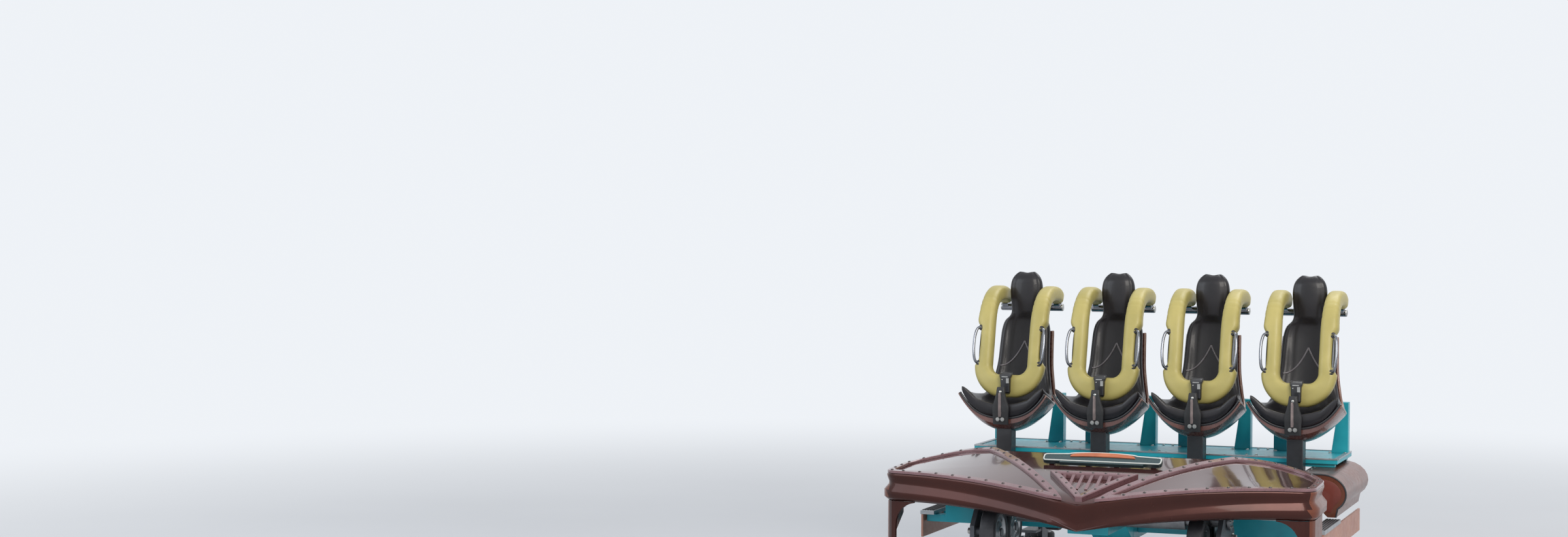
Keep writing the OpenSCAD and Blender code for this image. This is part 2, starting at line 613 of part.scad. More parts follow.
// Pylon behind each seat: two tapered uprights, a cross bar and the two ears
upright_w = [104, 60];
upright_t = 70;
upright_h = 320;
cross_z = 262;
cross_h = 60;
cross_t = 50;
ear_root = 60;
ear_y_mid = pivot_y + 3;
ear_half = 39;
ear_over = 42;
ear_neck = 60;
module seat_pylons() color(teal) for (x = seat_x) translate([x, 0, 0]) {
    both_sides() translate([0, ear_y + cross_t, 0]) rotate([90, 0, 0]) linear_extrude(upright_t)
        polygon([[pylon_half - upright_w[0], deck_z + seat_gap], [pylon_half, deck_z + seat_gap],
            [pylon_half, deck_z + upright_h], [pylon_half - upright_w[1], deck_z + upright_h]]);
    translate([-pylon_half, ear_y, deck_z + cross_z]) cube([2 * pylon_half, cross_t, cross_h]);
    both_sides() difference() {
        across(ear_x - ear_t / 2, ear_x + ear_t / 2)
            polygon([[ear_y, deck_z + cross_z], [ear_y + ear_root, deck_z + cross_z],
                [ear_y_mid + ear_half, pivot_z - ear_neck], [ear_y_mid + ear_half, pivot_z + ear_over],
                [ear_y_mid - ear_half, pivot_z + ear_over], [ear_y_mid - ear_half, pivot_z - ear_neck]]);
        translate([ear_x - ear_t, pivot_y, pivot_z]) rotate([0, 90, 0])
            cylinder(r = pivot_r + pivot_gap, h = 2 * ear_t);
    }
}

// Restraint: the U-shaped pad, swept from one rear end over the shoulder, across and back
// Columns: y, z of the arm's middle line, from the rear end down to the lower corner
arm_table = [[700, 1826], [640, 1848], [560, 1856], [470, 1850], [380, 1816], [312, 1752], [270, 1660],
    [240, 1540], [216, 1450], [206, 1402]];
bar_y = 168;
// Section: a rounded box around a point, across X by w and along the pad's thickness by h
pad_square = 0.55;
function squared(v) = sign(v) * pow(abs(v), pad_square);
function pad_section(w, h) = [for (a = [22.5 : 45 : 360]) [w / 2 * squared(cos(a)), h / 2 * squared(sin(a))]];
pad_face = pad_t / 2 * pow(sin(67.5), pad_square);
function arm_dir(i) = let (a = arm_table[max(0, i - 1)], b = arm_table[min(len(arm_table) - 1, i + 1)])
    (b - a) / norm(b - a);
function arm_ring(i, s) = let (d = arm_dir(i), c = arm_table[i]) [for (q = pad_section(arm_w, pad_t))
    [s * (arm_x + q[0]), c[0] - q[1] * d[1], c[1] + q[1] * d[0]]];
// Corner and cross bar: rings turn in the front view about the inner corner
corner_in = 60;
corner_z = 1398;
corner_y0 = arm_table[len(arm_table) - 1][0];
bar_h = 146;
function bar_ring(a, s) = let (c = [s * (arm_x - arm_w / 2 - corner_in), corner_z], r = corner_in,
    ro = lerp(corner_in + arm_w, corner_in + bar_h, 1 - cos(a)), mid = (r + ro) / 2)
    [for (q = pad_section(ro - r, pad_t))
        [c[0] + s * (mid + q[0]) * cos(a), lerp(corner_y0, bar_y, sin(a)) + q[1],
            c[1] - (mid + q[0]) * sin(a)]];
module restraint_pad(i) color(olive) translate([seat_x[i], 0, 0]) skin(concat(
    [for (k = [0 : len(arm_table) - 1]) arm_ring(k, -1)],
    [for (a = [18 : 18 : 90]) bar_ring(a, -1)],
    [for (a = [90 : -18 : 18]) bar_ring(a, 1)],
    [for (k = [len(arm_table) - 1 : -1 : 0]) arm_ring(k, 1)]));

// Bowed grab handle on the outer front edge of each arm: the heights of its two feet
handle_r = 9;
handle_z = [1448, 1628];
handle_x = 20;
handle_bow = 26;
handle_off = 70;
handle_seat = 0.5;
function arm_y(z) = lookup(z, [for (p = arm_table) [p[1], p[0]]]);
// Direction straight off the arm's front face
function arm_normal(z) = let (d = unit([arm_y(z + 10) - arm_y(z - 10), 20])) [0, -d[1], d[0]];
// One point of the handle's middle line, from foot to foot
function handle_point(s, u) = let (z = lerp(handle_z[0], handle_z[1], 0.5 - 0.5 * cos(180 * u)),
    off = lerp(pad_face + handle_seat, handle_off, pow(sin(180 * u), 0.4)))
    [s * (arm_x + handle_x + handle_bow * sin(180 * u)), arm_y(z), z] + off * arm_normal(z);
// The arm brackets end on the pads' slanted rear faces
arm_end_z = [1780, 1868];
tube_over = 30;
bracket_t = 36;
bracket_root = 30;
bracket_top = 22;
function arm_end(z) = let (d = arm_table[1] - arm_table[0])
    arm_table[0][0] - (z - arm_table[0][1]) * d[1] / d[0] + seat_gap;
module restraint_frame(i) color(steel) translate([seat_x[i], 0, 0]) {
    translate([0, pivot_y, pivot_z]) rotate([0, 90, 0])
        cylinder(r = pivot_r, h = 2 * (arm_x + tube_over), center = true);
    for (s = [-1, 1]) {
        translate([s * arm_x - bracket_t / 2, 0, 0]) across(0, bracket_t)
            polygon([[pivot_y - bracket_root, pivot_z], [pivot_y + bracket_root, pivot_z],
                [pivot_y + bracket_top, arm_end_z[1]],
                [arm_end(arm_end_z[1]), arm_end_z[1]], [arm_end(arm_end_z[0]), arm_end_z[0]]]);
        handle(s);
    }
}
module handle(s) {
    line = [for (u = [0, 0.04, 0.12, 0.25, 0.4, 0.6, 0.75, 0.88, 0.96, 1]) handle_point(s, u)];
    last = len(line) - 1;
    feet = [arm_normal(handle_z[0]), -arm_normal(handle_z[1])];
    skin([for (i = [0 : last]) let (
            d = i == 0 ? feet[0] : i == last ? feet[1] : unit(line[i + 1] - line[i - 1]),
            side = unit(cross(d, [1, 0, 0])),
            wide = cross(side, d))
        [for (a = [0 : 45 : 315]) line[i] + handle_r * (cos(a) * wide + sin(a) * side)]]);
}

// Crotch posts on the front lips, tapered in front view
belt_z = [1040, 1100, 1270];
belt_half = [54, 26];
belt_t = 28;
module belts() color(black) for (x = seat_x) translate([x, cushion_table[0][0] - seat_gap, 0])
    rotate([90, 0, 0]) linear_extrude(belt_t) polygon([
        [-belt_half[0], belt_z[0]], [belt_half[0], belt_z[0]], [belt_half[0], belt_z[1]],
        [belt_half[1], belt_z[2]], [-belt_half[1], belt_z[2]], [-belt_half[0], belt_z[1]]]);

// Wheel carriers: an outboard plate that holds the running wheels over the rail,
// the guide wheels beside it and the up-stop wheels under it
// One edge of the plate's outline, in Y and Z, from its foot to its top
plate_edge = [[stop_dy + 40, stop_z - 44], [stop_dy + 40, stop_z + 40], [68, stop_z + 110], [68, run_z - 110],
    [run_dy + 50, run_z - 50], [run_dy + 50, run_z + 36], [74, axle_z + 66]];
pin_gap = 0.1;
run_pin_r = 26;
small_pin_r = 20;
guide_w = 60;
stop_w = 70;
// How far the pins of the running and the up-stop wheels stand out of them
pin_over = [8, 13];
// Arm over the guide wheels: half width, thickness and height over the rail's middle
guide_arm_half = 40;
guide_arm_t = 18;
guide_arm_z = 62;
guide_arm_over = 36;
guide_pin_foot = -50;
module carrier(k) color(teal) {
    s = carrier_at[k][0];
    x0 = s > 0 ? plate_x : -plate_x - plate_t;
    inner = plate_x + plate_t / 2 - gauge / 2;
    translate([0, carrier_at[k][1], 0]) difference() {
        union() {
            across(x0, x0 + plate_t) plate_profile();
            for (e = [-1, 1]) {
                translate([x0 + plate_t / 2, e * run_dy, run_z])
                    axle_pin(-s, inner + run_w / 2 + pin_over[0], run_pin_r);
                translate([x0 + plate_t / 2, e * stop_dy, stop_z])
                    axle_pin(-s, inner + stop_w / 2 + pin_over[1], small_pin_r);
                // Arm over each guide wheel, with its pin
                translate([s * (plate_x + 4), e * guide_dy, rail_z]) guide_arm(s, e);
            }
        }
        translate([s * plate_x - 200, 0, axle_z]) rotate([0, 90, 0]) cylinder(r = stub_r + pin_gap, h = 400);
    }
}
module plate_profile() polygon(concat(plate_edge,
    [for (i = [len(plate_edge) - 1 : -1 : 0]) [-plate_edge[i][0], plate_edge[i][1]]]));
module axle_pin(dir, l, r) rotate([0, dir * 90, 0]) cylinder(r = r, h = l);
module guide_arm(s, e) {
    reach = guide_x - plate_x + guide_arm_over;
    w = guide_dy + guide_arm_half - 1;
    translate([s > 0 ? 0 : -reach, e > 0 ? -guide_dy + 1 : -guide_arm_half, guide_arm_z])
        cube([reach, w, guide_arm_t]);
    translate([s * (guide_x - plate_x - 4), 0, guide_pin_foot])
        cylinder(r = small_pin_r, h = guide_arm_z - guide_pin_foot + 6);
}

// Wheels: a tyre on a dished hub, bored for its pin
hub_share = [0.22, 0.36];
hub_in = 6;
hub_dish = 18;
tread_round = 8;
module wheel(d, w, pin_r) rotate_extrude() {
    a = d * hub_share[0];
    b = d * hub_share[1];
    half = [[pin_r + pin_gap, w / 2 - hub_in], [a, w / 2 - hub_in], [a, w / 2 - hub_dish], [b, w / 2 - hub_dish],
        [b, w / 2], [d / 2 - tread_round, w / 2], [d / 2, w / 2 - tread_round]];
    polygon(concat([for (p = half) [p[0], -p[1]]], [for (i = [len(half) - 1 : -1 : 0]) half[i]]));
}
module run_wheel(k, e) color(rubber)
    translate([carrier_at[k][0] * gauge / 2, carrier_at[k][1] + e * run_dy, run_z]) rotate([0, 90, 0])
        wheel(run_d, run_w, run_pin_r);
module guide_wheel(k, e) color(rubber)
    translate([carrier_at[k][0] * guide_x, carrier_at[k][1] + e * guide_dy, rail_z])
        wheel(guide_d, guide_w, small_pin_r);
module stop_wheel(k, e) color(rubber)
    translate([carrier_at[k][0] * gauge / 2, carrier_at[k][1] + e * stop_dy, stop_z]) rotate([0, 90, 0])
        wheel(stop_d, stop_w, small_pin_r);

module placed() translate([0, plan_shift, 0]) children();

placed() chassis();
placed() deck();
placed() floor_trays();
placed() side_steps();
placed() side_skirts();
placed() rear_fenders();
placed() axles();
placed() brake_fin();
placed() hitch();
placed() nose_shell();
placed() nose_panels();
placed() nose_grille();
placed() nose_plaque();
placed() seat_posts();
placed() seat_pylons();
placed() belts();
for (i = [0 : 3]) {
    placed() seat_shell(i);
    placed() seat_cushion(i);
    placed() restraint_frame(i);
    placed() restraint_pad(i);
}
for (k = [0 : 3]) {
    placed() carrier(k);
    for (e = [0, 1]) {
        name = str("_", CARRIERS[k], "_", ENDS[e]);
        dir = 2 * e - 1;
        placed() run_wheel(k, dir);
        placed() guide_wheel(k, dir);
        placed() stop_wheel(k, dir);
    }
}
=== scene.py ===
"""Looks of the lead car of a four-abreast roller coaster train. Metres, in the frame of the CAD model."""
import json
from math import atan, copysign, cos, exp, hypot, pi, radians, sin, tanh
import bmesh
import bpy
from mathutils import Matrix, Vector
from mathutils.bvhtree import BVHTree


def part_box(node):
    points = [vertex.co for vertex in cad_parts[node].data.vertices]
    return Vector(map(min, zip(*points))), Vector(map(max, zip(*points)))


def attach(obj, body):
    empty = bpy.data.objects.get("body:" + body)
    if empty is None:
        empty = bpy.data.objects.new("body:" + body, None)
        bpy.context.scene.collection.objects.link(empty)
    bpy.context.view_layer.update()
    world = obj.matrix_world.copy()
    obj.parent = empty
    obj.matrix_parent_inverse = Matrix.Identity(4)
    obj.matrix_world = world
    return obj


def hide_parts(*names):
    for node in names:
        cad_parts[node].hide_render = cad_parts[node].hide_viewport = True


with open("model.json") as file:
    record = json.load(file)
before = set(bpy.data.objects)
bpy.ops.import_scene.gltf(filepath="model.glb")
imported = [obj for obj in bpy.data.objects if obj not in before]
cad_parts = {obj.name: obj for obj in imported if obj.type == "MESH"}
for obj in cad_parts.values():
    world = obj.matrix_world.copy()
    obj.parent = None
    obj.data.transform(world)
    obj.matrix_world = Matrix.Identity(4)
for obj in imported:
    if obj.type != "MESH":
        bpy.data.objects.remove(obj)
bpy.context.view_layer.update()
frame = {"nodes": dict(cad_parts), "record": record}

# Camera of the photograph: place, heading, downward pitch, roll, and lens on a sensor of that width in mm
CAMERA_AT = Vector((3.4615, -14.7157, 2.36))
CAMERA_YAW, CAMERA_PITCH, CAMERA_ROLL = -0.3726, 0.0216, 0.0055
CAMERA_LENS, CAMERA_SENSOR, CAMERA_FAR = 56.06, 36.0, 200

# Car values that the pieces below are laid out from. Y is measured from the seat lips and moved by SHIFT
SHIFT = 0.3555
SEAT_PITCH = 0.62
SEAT_X = [(i - 1.5) * SEAT_PITCH for i in range(4)]
# Restraint: middle, width and thickness of an arm; the hinge, and the pylons' ears beside it
ARM_X, ARM_W, PAD_T = 0.176, 0.112, 0.104
PIVOT_Y, PIVOT_Z, EAR_X = 0.730, 1.760, 0.074
# Nose in plan: half width, reach ahead of the lips, sweep; corner and tail radii, tail's turn, sides' end
NOSE_HALF, NOSE_REACH, NOSE_SWEEP = 1.275, 1.671, 0.370
CORNER_R, TAIL_R, TAIL_TURN, SIDE_END = 0.110, 0.240, 75, -0.985
# Frame of a hood panel: how far in its middle line runs, its tip and apex, and its rear edge inwards
TRIM_IN = 0.026
PANEL_TIP, PANEL_APEX = (0.127, -1.609), (0.735, -0.846)
PANEL_REAR = [(1.000, -0.757), (0.925, -0.766), (0.835, -0.797), PANEL_APEX]
# Deck and floor trays: upper side, front, back and half width
DECK_Z, DECK_FRONT, DECK_BACK, DECK_HALF = 0.870, 0.210, 0.800, 1.170
TRAY_Z, TRAY_FRONT, TRAY_BACK, TRAY_HALF = 0.600, -0.740, -0.200, 1.150
CORNERS = ("front_left", "front_right", "rear_left", "rear_right")


def new_object(name, data):
    obj = bpy.data.objects.new(name, data)
    bpy.context.scene.collection.objects.link(obj)
    return obj


def make_camera():
    data = bpy.data.cameras.new("photo_camera")
    data.sensor_fit, data.sensor_width, data.lens = "HORIZONTAL", CAMERA_SENSOR, CAMERA_LENS
    data.clip_end = CAMERA_FAR
    camera = new_object("photo_camera", data)
    camera.matrix_world = Matrix.Translation(CAMERA_AT)
    for angle, axis in ((-CAMERA_YAW, "Z"), (pi / 2 - CAMERA_PITCH, "X"), (CAMERA_ROLL, "Z")):
        camera.matrix_world = camera.matrix_world @ Matrix.Rotation(angle, 4, axis)
    bpy.context.scene.camera = camera


make_camera()


# Node helpers. Noise between these values drifts from one tone or roughness to the other
DRIFT = (0.3, 0.7)


def fill(node, **values):
    """Sets a node's own sockets; an underscore stands for a space."""
    for key, value in values.items():
        node.inputs[key.replace("_", " ")].default_value = value
    return node


class Nodes:
    """One material's node tree, with short calls for the nodes that repeat."""

    def __init__(self, name):
        self.material = bpy.data.materials.new(name)
        self.material.use_nodes = True
        self.tree = self.material.node_tree
        self.shader = self.tree.nodes["Principled BSDF"]
        self.where = self.add("ShaderNodeTexCoord").outputs["Object"]

    def add(self, kind, **values):
        node = self.tree.nodes.new(kind)
        for key, value in values.items():
            setattr(node, key, value)
        return node

    def link(self, a, b):
        self.tree.links.new(a, b)

    def noise(self, scale, detail=4, rough=0.5, stretch=None):
        node = fill(self.add("ShaderNodeTexNoise"), Scale=scale, Detail=detail, Roughness=rough)
        vector = self.where
        if stretch:
            mapping = fill(self.add("ShaderNodeMapping"), Scale=stretch)
            self.link(self.where, mapping.inputs["Vector"])
            vector = mapping.outputs["Vector"]
        self.link(vector, node.inputs["Vector"])
        return node.outputs["Fac"]

    def ramp(self, fac, *tones):
        node = self.add("ShaderNodeValToRGB")
        for element, at, tone in zip(node.color_ramp.elements, DRIFT, tones):
            element.position, element.color = at, tone
        self.link(fac, node.inputs["Fac"])
        return node.outputs["Color"]

    def value_ramp(self, fac, a, b):
        node = self.add("ShaderNodeMapRange")
        fill(node, From_Min=DRIFT[0], From_Max=DRIFT[1], To_Min=a, To_Max=b)
        self.link(fac, node.inputs["Value"])
        return node.outputs["Result"]

    def bump(self, height, strength, distance):
        node = fill(self.add("ShaderNodeBump"), Strength=strength, Distance=distance)
        self.link(height, node.inputs["Height"])
        self.link(node.outputs["Normal"], self.shader.inputs["Normal"])


def srgb(tone):
    """Linear colour of an sRGB triple from 0 to 255."""
    shares = [c / 255 for c in tone]
    return [c / 12.92 if c <= 0.04045 else ((c + 0.055) / 1.055) ** 2.4 for c in shares] + [1]


def paint(name, dark, light, rough, metal, coat, patch, shine=0.5, grain=0, flow=None):
    """Paint or plastic: colour drifts between two tones, roughness has smudges, the skin a fine texture."""
    n = Nodes(name)
    drift = n.noise(patch, detail=3, rough=0.55, stretch=flow)
    n.link(n.ramp(drift, srgb(dark), srgb(light)), n.shader.inputs["Base Color"])
    smudge = n.noise(patch * 9, detail=5, rough=0.6)
    n.link(n.value_ramp(smudge, *rough), n.shader.inputs["Roughness"])
    fill(n.shader, Metallic=metal, Coat_Weight=coat, Coat_Roughness=0.05, Specular_IOR_Level=shine)
    if grain:
        n.bump(n.noise(grain, detail=3), strength=0.25, distance=0.0006)
    return n.material


# Name, dark and light tone in sRGB, least and most roughness, metal, coat, fineness of the patches; for some,
# shine, fineness of the grain, and the patches' stretch
PAINTS = [
    # The nose's fascia: a darker copy of the copper paint, with painted shade
    ("copper_paint", (54, 26, 22), (68, 33, 27), (0.20, 0.28), 0.45, 0.2, 1.6, 0.2),
    ("trim_paint", (112, 78, 82), (132, 96, 100), (0.24, 0.36), 0.3, 0.7, 6),
    ("teal_paint", (26, 148, 166), (44, 176, 190), (0.36, 0.5), 0.0, 0.2, 3, 0.35),
    ("plaque_paint", (26, 52, 56), (34, 64, 66), (0.25, 0.4), 0.0, 0.7, 8),
    ("skirt_paint", (170, 120, 104), (190, 140, 120), (0.4, 0.6), 0.1, 0.1, 4),
    ("carrier_paint", (70, 74, 80), (92, 96, 102), (0.4, 0.6), 0.2, 0.1, 9),
    ("black_paint", (26, 26, 29), (38, 38, 42), (0.35, 0.5), 0.0, 0.3, 8),
    ("tray_metal", (150, 154, 158), (182, 185, 188), (0.32, 0.5), 0.9, 0, 7, 0.5, 0, (1, 8, 1)),
    ("axle_steel", (120, 122, 126), (150, 152, 156), (0.3, 0.5), 0.9, 0, 12),
    ("restraint_steel", (118, 120, 126), (146, 148, 154), (0.12, 0.22), 1.0, 0, 20),
    ("restraint_foam", (172, 160, 92), (192, 178, 108), (0.42, 0.56), 0, 0.08, 4, 0.5, 900),
    ("seat_vinyl", (20, 18, 22), (32, 29, 34), (0.34, 0.46), 0, 0.12, 7, 0.4, 700),
    ("shell_plastic", (96, 64, 60), (124, 84, 76), (0.22, 0.34), 0.2, 0.7, 5),
    ("webbing", (24, 24, 26), (36, 36, 38), (0.5, 0.7), 0, 0.1, 30, 0.5, 1500),
    ("wheel_tyre", (40, 40, 44), (60, 60, 64), (0.5, 0.7), 0, 0, 14, 0.5, 300),
    ("hub_metal", (140, 144, 148), (170, 173, 176), (0.28, 0.44), 0.9, 0, 16),
    # Pale edge of the seat shells: a painted highlight along the rim
    ("edge_plastic", (120, 88, 78), (146, 112, 98), (0.28, 0.42), 0.1, 0.5, 9),
    ("strap_band", (112, 100, 100), (138, 124, 122), (0.4, 0.55), 0.1, 0.2, 30, 0.5, 1200),
    ("plaque_copper", (176, 92, 54), (198, 112, 70), (0.3, 0.45), 0.1, 0.5, 12),
    ("plaque_edge", (206, 210, 206), (222, 226, 220), (0.3, 0.45), 0.0, 0.5, 12),
    ("rivet_steel", (30, 17, 16), (44, 26, 24), (0.3, 0.45), 0.2, 0.5, 25),
    ("bolt_zinc", (160, 160, 158), (186, 186, 182), (0.25, 0.42), 0.9, 0, 30),
    ("tread_rubber", (28, 28, 31), (40, 40, 43), (0.6, 0.8), 0, 0, 20, 0.5, 400),
    # Copies of the nose's copper paint: darker on the fender fronts with painted shade, lighter and glossier
    # on the hood, lightest on the sunlit sides and fenders with painted sunlight
    ("fender_shade_paint", (98, 42, 34), (116, 54, 44), (0.35, 0.5), 0.1, 0.2, 8, 0.3),
    ("hood_paint", (70, 38, 36), (84, 46, 43), (0.11, 0.15), 0.3, 0.9, 1.2),
    ("sunlit_copper", (100, 56, 42), (122, 70, 52), (0.26, 0.36), 0.45, 0.2, 3, 0.2),
    # Piping: mid grey as a painted highlight on piping of black vinyl
    ("piping_grey", (104, 99, 104), (126, 121, 126), (0.35, 0.5), 0, 0.2, 14),
]
MATERIALS = {row[0]: paint(*row) for row in PAINTS}
SLOT_OF = {part["node"]: part["material_slot"] for part in frame["record"]["subparts"]}


# Mesh helpers
def piece(name, mesh, material, body, replaced=(), place=None):
    """A shown piece: a mesh with one material, riding a body, that may stand for CAD nodes."""
    if not mesh.materials:
        mesh.materials.append(MATERIALS[material])
    obj = new_object(name, mesh)
    if place is not None:
        obj.matrix_world = place
    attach(obj, body)
    if replaced:
        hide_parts(*replaced)
    return obj


def finish_mesh(bm, name, angle):
    """Turns a bmesh into a mesh with soft shading, except over edges sharper than the angle."""
    bmesh.ops.recalc_face_normals(bm, faces=bm.faces)
    mesh = bpy.data.meshes.new(name + "_mesh")
    bm.to_mesh(mesh)
    bm.free()
    mesh.shade_smooth()
    mesh.set_sharp_from_angle(angle=angle)
    return mesh


def trim(name, bm, angle=0.5, material="bolt_zinc", body="root"):
    """A piece that stands for no CAD node; bolts unless told otherwise."""
    piece(name, finish_mesh(bm, name, angle), material, body)


def grid(bm, rings, wrap=True, loop=False, caps="none"):
    """Skins a list of rings: wrap closes each ring, loop joins the last to the first, and caps closes both
    ends with one face each (fan) or with a strip of faces (strip)."""
    rows = [[bm.verts.new(p) for p in ring] for ring in rings]
    n, m = len(rows), len(rows[0])
    for i in range(n if loop else n - 1):
        for j in range(m if wrap else m - 1):
            a, b = rows[i], rows[(i + 1) % n]
            bm.faces.new((a[j], b[j], b[(j + 1) % m], a[(j + 1) % m]))
    for row in (rows[0], rows[-1]) if caps != "none" else ():
        if caps == "fan":
            bm.faces.new(row)
        else:
            for j in range(m // 2 - 1):
                corners = [row[j], row[j + 1], row[m - 2 - j], row[m - 1 - j]]
                if len(set(corners)) == 4:
                    bm.faces.new(corners)


def turn_angles(count, start=0.0):
    """Angles of equal steps round a full turn; start moves them by a share of a step."""
    return [2 * pi * (k + start) / count for k in range(count)]


def oval(count, across, off=None):
    """Points round a rounded square from -1 to 1; smaller exponents make it squarer."""
    return [(power(cos(a), across), power(sin(a), off or across)) for a in turn_angles(count, 0.5)]


def lathe(bm, profile, centre, axis, turns):
    """Turns a profile of (radius, height) about an axis through the centre."""
    axis = Vector(axis).normalized()
    side = axis.orthogonal().normalized()
    other = axis.cross(side)
    rings = []
    for a in turn_angles(turns):
        out = cos(a) * side + sin(a) * other
        rings.append([Vector(centre) + out * r + axis * h for r, h in profile])
    grid(bm, rings, wrap=False, loop=True)


def block(bm, low, high):
    """A box between two corners."""
    v = [bm.verts.new((x, y, z))
         for z in (low[2], high[2]) for y in (low[1], high[1]) for x in (low[0], high[0])]
    for f in ((0, 1, 3, 2), (4, 6, 7, 5), (0, 4, 5, 1), (2, 3, 7, 6), (0, 2, 6, 4), (1, 5, 7, 3)):
        bm.faces.new([v[k] for k in f])


def tube(bm, points, radius, turns, flat=1.0):
    """A rod along points; flat below 1 makes it a strap."""
    points = [Vector(p) for p in points]
    side = None
    rings = []
    for i, p in enumerate(points):
        d = (points[min(i + 1, len(points) - 1)] - points[max(i - 1, 0)]).normalized()
        if side is None:
            side = d.orthogonal().normalized()
        side = (side - d * side.dot(d)).normalized()
        other = d.cross(side)
        rings.append([p + radius * (cos(a) * side + flat * sin(a) * other)
                      for a in turn_angles(turns)])
    grid(bm, rings, caps="fan")


# Rivet head: radius and height; its tip stays open by a hair
DOME = [(0.02, 1.0), (0.34, 0.94), (0.64, 0.77), (0.87, 0.5), (1.0, 0.0)]


def rivet(bm, at, normal, radius, height):
    """Domed head; its height is a share of the radius."""
    lathe(bm, [(r * radius, h * radius * height) for r, h in DOME], at, normal, 12)


def bolt(bm, at, normal, radius, head=0.6):
    """Hexagon head on a washer; the sizes are shares of the head's radius."""
    lathe(bm, [(0.001, 0.3 * radius), (1.35 * radius, 0.3 * radius), (1.4 * radius, 0)], at, normal, 16)
    lathe(bm, [(0.001, (0.3 + head) * radius), (0.86 * radius, (0.3 + head) * radius),
               (radius, (0.2 + head) * radius), (radius, 0.2 * radius)], at, normal, 6)


def spline(rows, t):
    """Smooth values between the rows of a table at parameter t, counted in rows."""
    i = min(int(t), len(rows) - 2)
    f = t - i
    p = [rows[min(max(k, 0), len(rows) - 1)] for k in (i - 1, i, i + 1, i + 2)]
    return [0.5 * (2 * b + (c - a) * f + (2 * a - 5 * b + 4 * c - d) * f * f
                   + (3 * b - a - 3 * c + d) * f ** 3) for a, b, c, d in zip(*p)]


def power(value, exponent):
    """Power that keeps the sign."""
    return copysign(abs(value) ** exponent, value)


def bell(value, centre, width):
    return exp(-((value - centre) / width) ** 2)


def relief(value, line):
    """Height of a raised or sunk line, given as its place, width and full height."""
    centre, width, height = line
    return height * bell(value, centre, width)


def ease(value, start, over):
    """0 before the start, rising to 1 over a length."""
    return min(1, max(0, (value - start) / over))


def tree_of(mesh):
    return BVHTree.FromPolygons([v.co.copy() for v in mesh.vertices],
                                [tuple(p.vertices) for p in mesh.polygons])


def rivet_on(bm, tree, x, y, radius, height, sink=0.0):
    """A rivet on a surface below a place, a little sunk into it; none where the surface doesn't reach."""
    at, normal, _, _ = tree.ray_cast(Vector((x, y, 3)), Vector((0, 0, -1)))
    if at is not None:
        normal = normal if normal.z > 0 else -normal
        rivet(bm, at - normal * sink, normal, radius, height)


# CAD pieces that stay as they are in form get merged facets, small bevels and soft shading
WELD, FLAT = 0.0001, 0.02


def dress(node, body, bevel=0.0, angle=0.6, paints=(), choose=None, drop=None):
    """A finished copy of a CAD node; choose gives a face one of the paints, drop tells which faces go."""
    bm = bmesh.new()
    bm.from_mesh(frame["nodes"][node].data)
    bmesh.ops.remove_doubles(bm, verts=bm.verts, dist=WELD)
    if drop:
        bmesh.ops.delete(bm, geom=[f for f in bm.faces if drop(f)], context="FACES")
    if choose:
        bmesh.ops.recalc_face_normals(bm, faces=bm.faces)
        for face in bm.faces:
            face.material_index = choose(face)
    else:
        bmesh.ops.dissolve_limit(bm, angle_limit=FLAT, verts=bm.verts, edges=bm.edges)
    mesh = finish_mesh(bm, node, angle)
    for name in paints:
        mesh.materials.append(MATERIALS[name])
    obj = piece(node + "_finish", mesh, SLOT_OF[node], body, [node])
    if bevel:
        edge = obj.modifiers.new("edge", "BEVEL")
        edge.width, edge.segments, edge.limit_method, edge.angle_limit = bevel, 2, "ANGLE", 0.6
        edge.harden_normals = True


# Faces of the nose that face up take the hood's copy of the paint, those far out at the sides a lighter copy
# with painted sunlight, the fascia a darker one with painted shade
HOOD_NORMAL, SIDE_X, BRACKET_FOOT = 0.8, 1.245, 1.70


def nose_paint(face):
    """Which copy of the one copper paint a face of the nose gets: the fascia's darker one with painted shade,
    the glossy hood's lighter one, or the sides' lightest one with painted sunlight.
    """
    if face.normal.z > HOOD_NORMAL:
        return 1
    return 2 if abs(face.calc_center_median().x) > SIDE_X else 0


def below_brackets(face):
    """The grab handles below the hinge brackets are made anew with the pads."""
    return face.calc_center_median().z < BRACKET_FOOT


BODY_OF = {node: body for body, nodes in frame["record"]["behaviour"]["bodies"].items() for node in nodes}
BEVELS = {"chassis": 0.004, "deck": 0.003, "side_steps": 0.002, "side_skirts": 0.002,
          "brake_fin": 0.002, "seat_posts": 0.006, "seat_pylons": 0.004, "floor_trays": 0.001}
SMOOTH = {"nose_panels": 0.5, "nose_grille": 0.5, "axles": 0.5, "hitch": 0.5, "nose_plaque": 0.4}
for name, width in BEVELS.items():
    dress(name, BODY_OF[name], width)
for name, angle in SMOOTH.items():
    dress(name, BODY_OF[name], angle=angle)
# One copper paint in copies by facing: painted shade on the fascia, painted sunlight on the sides
dress("nose_shell", "root", angle=0.65, choose=nose_paint,
      paints=("copper_paint", "hood_paint", "sunlit_copper"))
# The fenders take the sides' lighter copy of the copper paint, with painted sunlight
dress("rear_fenders", "root", angle=0.5, paints=("sunlit_copper",))
for corner in CORNERS:
    dress("carrier_" + corner, "carrier_" + corner, 0.002)
for i in range(1, len(SEAT_X) + 1):
    dress(f"restraint_frame_{i}", f"restraint_{i}", angle=0.7, drop=below_brackets)


